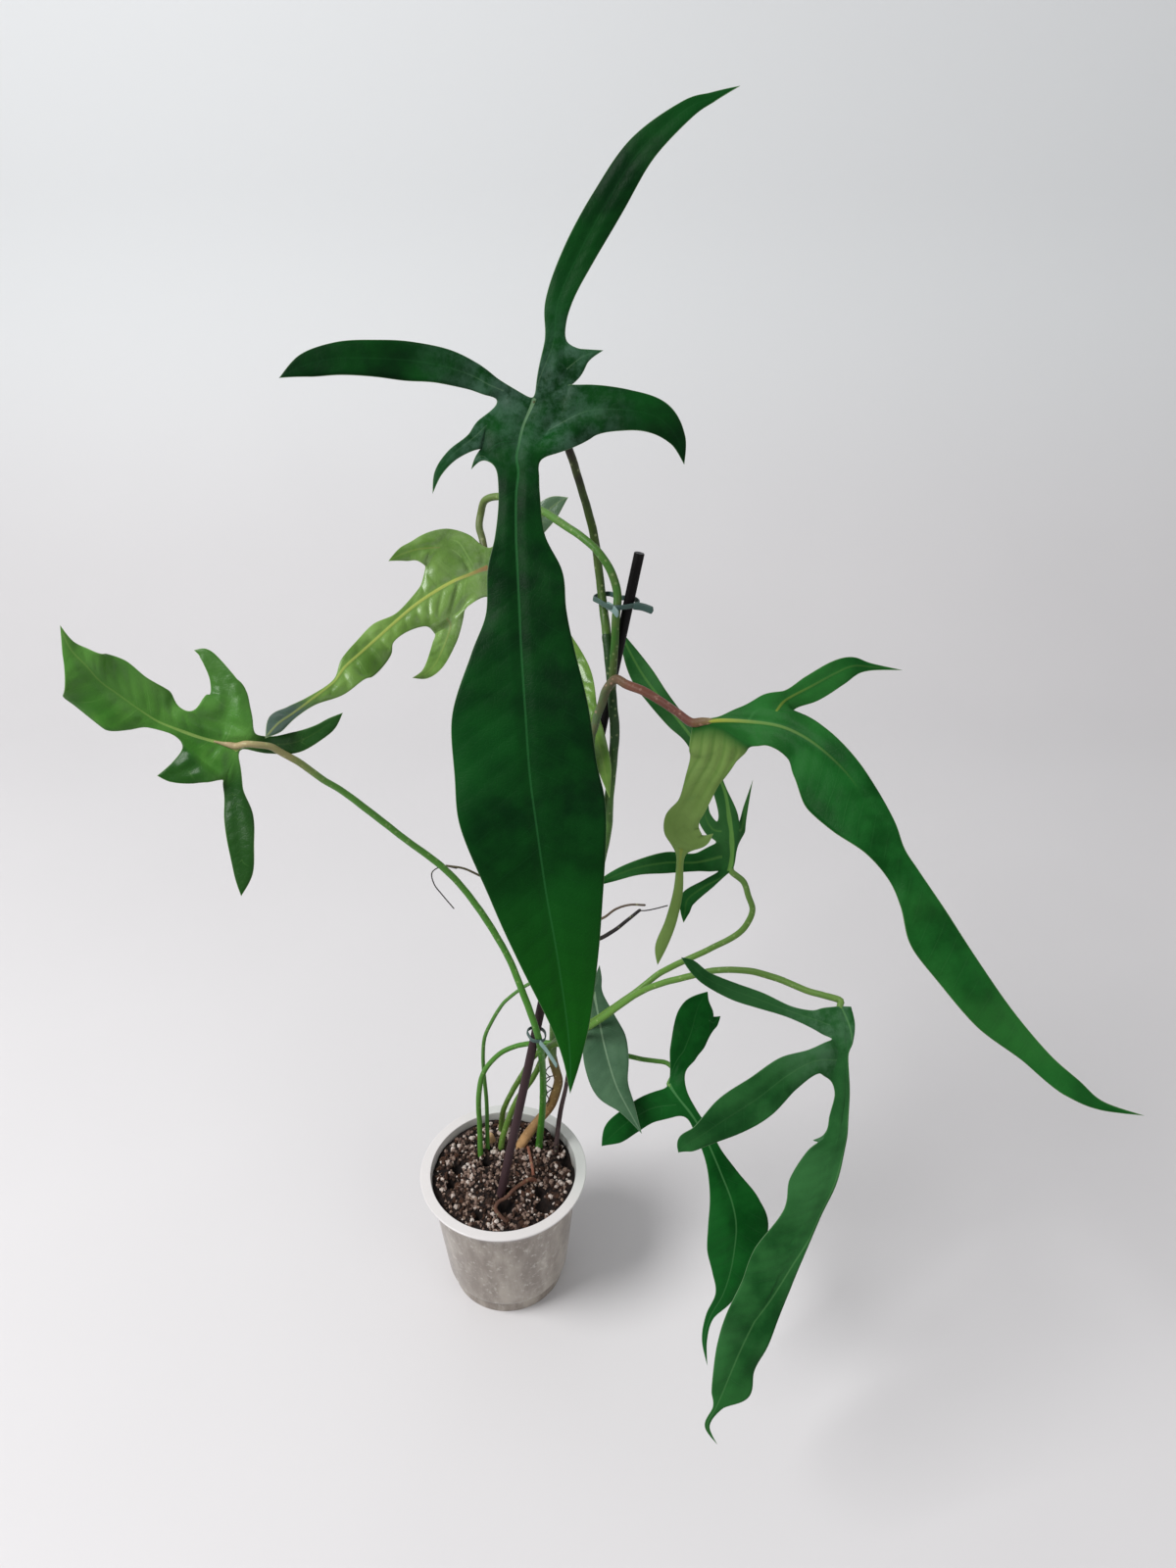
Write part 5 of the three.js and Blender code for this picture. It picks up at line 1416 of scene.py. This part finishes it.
def strapShell(route, width, thick, closed):
    # a rounded oblong, a superellipse of power 4, carried along the route with its width along the stake;
    # the ends of an open strap are rounded off
    line, length = smoothRoute(route, 0.7, closed)
    if closed:
        line = line[:-1]
        along = unit(np.roll(line, -1, 0) - np.roll(line, 1, 0))
        scale = np.ones(len(line))
    else:
        along = unit(np.gradient(line, axis=0))
        reach = np.linspace(0, length, len(line))
        near = np.clip(np.minimum(reach, length - reach) / 1.2, 0, 1)
        scale = np.sqrt(np.clip(1 - (1 - near) ** 2, 0.02, 1))
    broad = stakeAxis()[1]
    out = unit(np.cross(broad, along))
    sides = 16
    cosine, sine = np.cos(roundAngles(sides)), np.sin(roundAngles(sides))
    size = (cosine ** 4 + sine ** 4) ** -0.25
    points = line[:, None] + out[:, None] * (scale[:, None] * cosine * size * thick / 2)[:, :, None]
    points = points + broad * (scale[:, None] * sine * size * width / 2)[:, :, None]
    points = points.reshape(-1, 3)
    if closed:
        return points, [ringFaces(len(line) + 1, sides) % len(points)]
    j = np.arange(1, sides - 1)
    end = (len(line) - 1) * sides
    caps = np.vstack([np.stack([0 * j, j + 1, j], 1), np.stack([end + 0 * j, end + j, end + j + 1], 1)])
    return points, [ringFaces(len(line), sides), caps]


def tieMaterial(name, colours):
    material, tree = newMaterial(name)
    patch = noise(tree, 120.0, 3.0)
    body = mixColours(tree, patch, *colours)
    bump = bumpOf(tree, noise(tree, 1500.0, 2.0), 0.25, 0.0002)
    finish(tree, skinShader(tree, body, multiplyAdd(tree, patch, 0.2, 0.36), 0.5, bump))
    return material


def makeTie(name, nodeName, tie, materials):
    straps = [(strapShell(tie["loop"], tie["width"], tie["thick"], True), 0)]
    for route, width, thick, skin in tie["flaps"]:
        straps.append((strapShell(route, width, thick, False), skin))
    points, groups, count = [], [], 0
    for (shell, parts), skin in straps:
        points.append(shell)
        groups += [(faces + count, skin, {}) for faces in parts]
        count += len(shell)
    makeObject(name, np.vstack(points) * mm, groups, materials, [nodeName])


tieSkins = [tieMaterial("tie_loop", ties["loopColours"]), tieMaterial("tie_flap", ties["flapColours"])]
makeTie("clip_upper", "tie_upper", ties["upper"], tieSkins)
makeTie("clip_lower", "tie_lower", ties["lower"], tieSkins)
print("ties ready")


# Pot

pot = {
    "height": 110.0, "rim": 60.0, "mouth": 52.6, "foot": 41.5, "footHeight": 10.0, "step": 45.0,
    "stepHeight": 14.0, "shoulder": 53.0, "shoulderHeight": 104.0, "wall": 1.2, "rimThick": 1.6,
    "lift": 0.6, "footRing": 3.0, "floor": 2.0,
    "drain": 3.5, "drainRing": 28.0, "drains": 6, "sides": 160,
    # behind is a painted shade for the rim's right and back
    "milk": "d0cccb", "behind": "c0c2be", "shadow": ("7c7167", "a79e93"), "streak": "b8b1a8",
    "spot": "dcd6ce",
}


def roundedProfile(corners, bevels, steps=6):
    # each corner is cut by a quarter-like curve: a quadratic curve between points one bevel away on both
    # sides
    points = np.array(corners, float)
    result = []
    for i, (corner, bevel) in enumerate(zip(points, bevels)):
        if i in (0, len(points) - 1) or bevel == 0:
            result.append(corner[None])
            continue
        before = corner + unit(points[i - 1] - corner) * bevel
        after = corner + unit(points[i + 1] - corner) * bevel
        f = np.linspace(0, 1, steps)[:, None]
        result.append((1 - f) ** 2 * before + 2 * f * (1 - f) * corner + f * f * after)
    return np.vstack(result)


def denseProfile(profile, step):
    reach = lengthAlong(profile)
    places = np.unique(np.round(np.concatenate([reach, np.arange(0, reach[-1], step)]), 3))
    return np.stack([np.interp(places, reach, profile[:, 0]), np.interp(places, reach, profile[:, 1])], 1)


def turnedShell(profile, sides):
    # a profile of (radius, height) turned about the Z axis, with a single point at each pole
    angle = roundAngles(sides)
    radius, height = profile[1:-1, :1], profile[1:-1, 1:]
    points = np.stack([radius * np.cos(angle), radius * np.sin(angle), height + 0 * angle], -1)
    poles = np.array([[0, 0, profile[0, 1]], [0, 0, profile[-1, 1]]])
    rings = len(radius)
    return np.vstack([points.reshape(-1, 3), poles]), [ringFaces(rings, sides), poleFaces(rings, sides)]


def potMaterial():
    # milky plastic: soil shows through the wall as grey-brown mottling with upright streaks, and the rim
    # stays white, with painted shade making it a little duller towards the far right and the back
    material, tree = newMaterial("pot_plastic")
    place = objectPlace(tree)
    stretched = addNode(tree, "ShaderNodeMapping", {"Vector": place, "Scale": (1.0, 1.0, 0.3)}).outputs[0]
    coarse = noise(tree, 70.0, 6.0, 0.62, stretched)
    fine = noise(tree, 240.0, 4.0, 0.6)
    shade = mixColours(tree, ease(tree, coarse, 0.35, 0.68), *pot["shadow"])
    shade = mixColours(tree, ease(tree, fine, 0.55, 0.75), shade, pot["streak"])
    spots = multiply(tree, ease(tree, cellDistance(tree, 120.0), 0.22, 0.1), 0.2)
    shade = mixColours(tree, spots, shade, pot["spot"])
    right, back, height = partsOf(tree, place)
    # painted shade: the rim's colour turns duller grey towards the right and the back
    away = calculate(tree, "ADD", right, back)
    milk = mixColours(tree, ease(tree, away, 0.0, 0.06), pot["milk"], pot["behind"])
    body = mixColours(tree, ease(tree, height, 0.094, 0.107), shade, milk)
    bump = bumpOf(tree, fine, 0.12, 0.0005)
    finish(tree, skinShader(tree, body, 0.3, 0.5, bump, 0.25, 0.2))
    return material


def potProfile():
    # up the outside from the middle of the underside, over the rim and down the inside
    p = pot
    under = p["height"] - p["rimThick"]
    corners = [
        (0, 0.8), (30, p["lift"]), (p["foot"] - p["footRing"] - 1, p["lift"]), (p["foot"] - p["footRing"], 0),
        (p["foot"], 0), (p["foot"], p["footHeight"]), (p["step"], p["stepHeight"]),
        (p["shoulder"], p["shoulderHeight"]), (p["mouth"] + p["wall"], under), (p["rim"], under),
        (p["rim"], p["height"]), (p["mouth"], p["height"]), (p["shoulder"] - p["wall"], p["shoulderHeight"]),
        (p["step"] - p["wall"], p["stepHeight"]), (p["foot"] - p["wall"], p["footHeight"]),
        (p["foot"] - p["wall"], p["floor"]), (0, p["floor"]),
    ]
    bevels = [0, 0, 0.4, 0.4, 0.8, 1.2, 2.5, 1.5, 0.8, 0.7, 0.7, 0.6, 2, 2, 1, 0.6, 0]
    return denseProfile(roundedProfile(corners, bevels), 3.0)


def makePot():
    points, faces = turnedShell(potProfile(), pot["sides"])
    piece = makeShell("pot_shell", points, faces, potMaterial(), ["pot"])
    cutters = []
    ring, radius = pot["drainRing"] * mm, pot["drain"] * mm
    for angle in roundAngles(pot["drains"]):
        place = (ring * math.cos(angle), ring * math.sin(angle), 0.001)
        bpy.ops.mesh.primitive_cylinder_add(vertices=32, radius=radius, depth=0.006, location=place)
        cutters.append(bpy.context.object)
        cut = piece.modifiers.new("drain", "BOOLEAN")
        cut.object = cutters[-1]
        cut.operation = "DIFFERENCE"
        cut.solver = "EXACT"
    bpy.context.view_layer.update()
    graph = bpy.context.evaluated_depsgraph_get()
    cutMesh = bpy.data.meshes.new_from_object(piece.evaluated_get(graph))
    piece.modifiers.clear()
    piece.data = cutMesh
    for cutter in cutters:
        bpy.data.objects.remove(cutter)
    piece.data.polygons.foreach_set("use_smooth", np.full(len(piece.data.polygons), True))


makePot()
print("pot ready")


# Soil

soil = {
    "edgeHeight": 103.5, "middleHeight": 107.0, "bottom": 2.3, "gap": 0.4, "sides": 180, "rings": 90,
    "ripple": 0.6, "holeDepth": 9.0, "rise": 0.14, "seed": 11, "colour": ("0c0706", "1e1410"),
    # a hole is x, y and width
    "holes": [
        (3.0, -27.5, 8.5), (-12.8, 9.8, 5.5), (-34, 5, 6.5), (-37, -8, 5.5), (30, -27, 8), (27, -15, 6.5),
        (46, 13, 8), (37, 40, 6), (-16, -36, 5),
    ],
    "grains": {
        "crumbs": {"count": 800, "sizes": (1.2, 3.6), "flat": (0.5, 1.0), "colours": ("1a110e", "3a2920")},
        "bark": {"count": 420, "sizes": (2.2, 5.5), "flat": (0.3, 0.6), "colours": ("4a3022", "241812")},
        "grit": {"count": 900, "sizes": (1.8, 3.8), "flat": (0.6, 1.0), "colours": ("947e70", "54403a")},
        "perlite": {"count": 280, "sizes": (1.8, 4.6), "flat": (0.6, 1.0), "colours": ("d2c8c0", "8f7b70")},
    },
}


def ripple(x, y):
    # a sum of sines of several sizes and directions, in millimetres
    total = 0.9 * np.sin(x / 3.1) * np.cos(y / 2.7) + 0.8 * np.sin((x + y) / 5.3)
    return total + 0.5 * np.sin(x / 1.3 + 2) * np.cos(y / 1.5 + 1) + 0.35 * np.sin(x / 0.8 - y / 0.9)


def soilHeight(x, y):
    # highest in the middle, falling to the wall by a quarter sine, with ripples and bell-shaped holes
    edge = pot["shoulder"] - pot["wall"] - soil["gap"]
    share = np.clip(1 - np.hypot(x, y) / edge, 0, 1)
    height = soil["edgeHeight"] + (soil["middleHeight"] - soil["edgeHeight"]) * np.sin(share * math.pi / 2)
    height = height + soil["ripple"] * ripple(x, y)
    for hx, hy, size in soil["holes"]:
        away = np.hypot(x - hx, y - hy)
        height = height - soil["holeDepth"] * np.exp(-(away / (0.5 * size)) ** 2 / 2)
    return height


def soilMaterial(name, colours, scale, rough):
    material, tree = newMaterial(name)
    patch = noise(tree, scale, 6.0, 0.65)
    body = mixColours(tree, ease(tree, patch, 0.35, 0.65), *colours)
    bump = bumpOf(tree, noise(tree, scale * 6, 4.0), 0.9, 0.0006)
    finish(tree, skinShader(tree, body, rough, 0.3, bump))
    return material


def makeSoil():
    # rings up the pot's wall, then rings from the edge to the middle at the height of the soil
    inset = pot["wall"] + soil["gap"]
    edge = pot["shoulder"] - inset
    wall = np.array([
        (pot["foot"] - inset, soil["bottom"]), (pot["foot"] - inset, pot["footHeight"]),
        (pot["step"] - inset, pot["stepHeight"]), (edge - 0.6, 98.0),
    ])
    radius = np.concatenate([wall[:, 0], np.linspace(edge, 0.0, soil["rings"] + 1)[:-1]])
    angle = roundAngles(soil["sides"])
    x, y = radius[:, None] * np.cos(angle), radius[:, None] * np.sin(angle)
    z = soilHeight(x, y)
    z[:len(wall)] = wall[:, 1:]
    poles = [[0, 0, soil["bottom"]], [0, 0, soilHeight(0.0, 0.0)]]
    points = np.vstack([np.stack([x, y, z], -1).reshape(-1, 3), poles])
    faces = [ringFaces(len(radius), soil["sides"]), poleFaces(len(radius), soil["sides"])]
    skin = soilMaterial("soil_dark", soil["colour"], 220.0, 0.95)
    makeShell("soil_body", points, faces, skin, ["soil"])


def stone():
    # a ball of 32 faces: an octahedron cut once, pushed out to radius 1
    corners = np.array([(1, 0, 0), (-1, 0, 0), (0, 1, 0), (0, -1, 0), (0, 0, 1), (0, 0, -1)], float)
    faces = [(0, 2, 4), (2, 1, 4), (1, 3, 4), (3, 0, 4), (2, 0, 5), (1, 2, 5), (3, 1, 5), (0, 3, 5)]
    points, triangles, middles = list(corners), [], {}
    for a, b, c in faces:
        cuts = []
        for p, q in ((a, b), (b, c), (c, a)):
            key = (min(p, q), max(p, q))
            if key not in middles:
                middles[key] = len(points)
                points.append(unit(corners[p] + corners[q]))
            cuts.append(middles[key])
        ab, bc, ca = cuts
        triangles += [(a, ab, ca), (b, bc, ab), (c, ca, bc), (ab, bc, ca)]
    return np.array(points), np.array(triangles)


def randomTurns(draw, count):
    # rotation matrices of random unit quaternions (w, a, b, c)
    turns = draw.normal(size=(count, 4))
    w, a, b, c = (turns / np.linalg.norm(turns, axis=1, keepdims=True)).T
    return np.stack([
        1 - 2 * (b * b + c * c), 2 * (a * b - w * c), 2 * (a * c + w * b),
        2 * (a * b + w * c), 1 - 2 * (a * a + c * c), 2 * (b * c - w * a),
        2 * (a * c - w * b), 2 * (b * c + w * a), 1 - 2 * (a * a + b * b)], 1).reshape(count, 3, 3)


def scatter(name, grain, draw):
    # copies of the stone, each with its own lumps, turn and stretch, sunk in the soil's surface
    base, faces = stone()
    radius = (pot["shoulder"] - 4.5) * np.sqrt(draw.uniform(0, 1, grain["count"]))
    angle = draw.uniform(0, 2 * math.pi, grain["count"])
    x, y = radius * np.cos(angle), radius * np.sin(angle)
    clear = np.all([np.hypot(x - hx, y - hy) > 0.75 * size for hx, hy, size in soil["holes"]], axis=0)
    x, y = x[clear], y[clear]
    count = len(x)
    size = draw.uniform(*grain["sizes"], count) * draw.uniform(0.7, 1.2, count)
    shape = base[None] * draw.uniform(0.78, 1.18, (count, len(base), 1))
    stretch = [np.ones(count), draw.uniform(0.6, 1, count), draw.uniform(*grain["flat"], count)]
    shape = shape * np.stack(stretch, 1)[:, None]
    shape = np.einsum("nij,nkj->nki", randomTurns(draw, count), shape) * (size / 2)[:, None, None]
    place = np.stack([x, y, soilHeight(x, y) + soil["rise"] * size], 1)
    points = (shape + place[:, None]).reshape(-1, 3)
    triangles = (faces[None] + (np.arange(count) * len(base))[:, None, None]).reshape(-1, 3)
    material = soilMaterial(name, grain["colours"], 260.0, 0.9)
    makeShell(name, points, [triangles], material, smooth=False)


makeSoil()
draw = np.random.default_rng(soil["seed"])
for kind, grain in soil["grains"].items():
    scatter("soil_" + kind, grain, draw)
print("soil ready")


# Floor, light and camera

studio = {
    "floor": ("cbc9ca", "d1cfd0"), "wall": "d8dadb", "size": 3.0, "back": 0.8, "bend": 0.6, "top": 2.5,
    "camera": (61.2, -561.6, 808.8), "pitch": 33.1, "lens": 27.0,
    "key": {"place": (-1.3, -0.5, 2.0), "aim": (0.05, 0.0, 0.4), "size": 1.1, "power": 54.0},
    "fill": {"place": (1.6, -1.4, 1.5), "aim": (0.05, 0.0, 0.35), "size": 1.6, "power": 9.0},
    "sky": ("f0f0f2", 0.5),
}


def floorMaterial():
    # pale paper, turning to the wall's colour over its first half metre
    material, tree = newMaterial("floor_paper")
    body = mixColours(tree, noise(tree, 3.0, 2.0), *studio["floor"])
    height = partsOf(tree, objectPlace(tree))[2]
    body = mixColours(tree, ease(tree, height, 0.0, 0.5), body, studio["wall"])
    finish(tree, skinShader(tree, body, 0.6, 0.25))
    return material


def makeFloor():
    # a flat floor that bends up behind the plant as a quarter circle and ends in a wall
    back, bend, size = studio["back"], studio["bend"], studio["size"]
    turn = np.linspace(0, math.pi / 2, 24)
    y = np.concatenate([[-size, -0.5, 0.5], back + bend * np.sin(turn), [back + bend]])[:, None]
    z = np.concatenate([[0, 0, 0], bend * (1 - np.cos(turn)), [studio["top"]]])[:, None]
    x = np.linspace(-size, size, 9)
    grid = np.stack([x + 0 * y, y + 0 * x, z + 0 * x], -1)
    i, j = np.meshgrid(np.arange(len(y) - 1), np.arange(len(x) - 1), indexing="ij")
    first = i * len(x) + j
    faces = np.stack([first, first + 1, first + len(x) + 1, first + len(x)], -1)
    mesh = bpy.data.meshes.new("floor")
    mesh.from_pydata(grid.reshape(-1, 3).tolist(), [], faces.reshape(-1, 4).tolist())
    mesh.polygons.foreach_set("use_smooth", np.full(len(mesh.polygons), True))
    mesh.materials.append(floorMaterial())
    floor = bpy.data.objects.new("floor", mesh)
    bpy.context.scene.collection.objects.link(floor)


def addLight(name, look):
    data = bpy.data.lights.new(name, "AREA")
    data.shape = "DISK"
    data.size = look["size"]
    data.energy = look["power"]
    lamp = bpy.data.objects.new(name, data)
    lamp.location = look["place"]
    aim = Vector(look["aim"]) - Vector(look["place"])
    lamp.rotation_euler = aim.to_track_quat("-Z", "Y").to_euler()
    bpy.context.scene.collection.objects.link(lamp)


def addSky():
    world = bpy.data.worlds.new("sky")
    bpy.context.scene.world = world
    world.use_nodes = True
    background = world.node_tree.nodes["Background"]
    background.inputs[0].default_value = colour(studio["sky"][0])
    background.inputs[1].default_value = studio["sky"][1]


def addCamera():
    data = bpy.data.cameras.new("camera")
    data.lens = studio["lens"]
    data.sensor_width = 36.0
    camera = bpy.data.objects.new("camera", data)
    camera.location = Vector(studio["camera"]) * mm
    camera.rotation_euler = (math.radians(90 - studio["pitch"]), 0, 0)
    bpy.context.scene.collection.objects.link(camera)
    bpy.context.scene.camera = camera


makeFloor()
addLight("key_light", studio["key"])
addLight("fill_light", studio["fill"])
addSky()
bpy.context.scene.view_settings.view_transform = "Standard"
addCamera()
print("floor, light and camera ready")
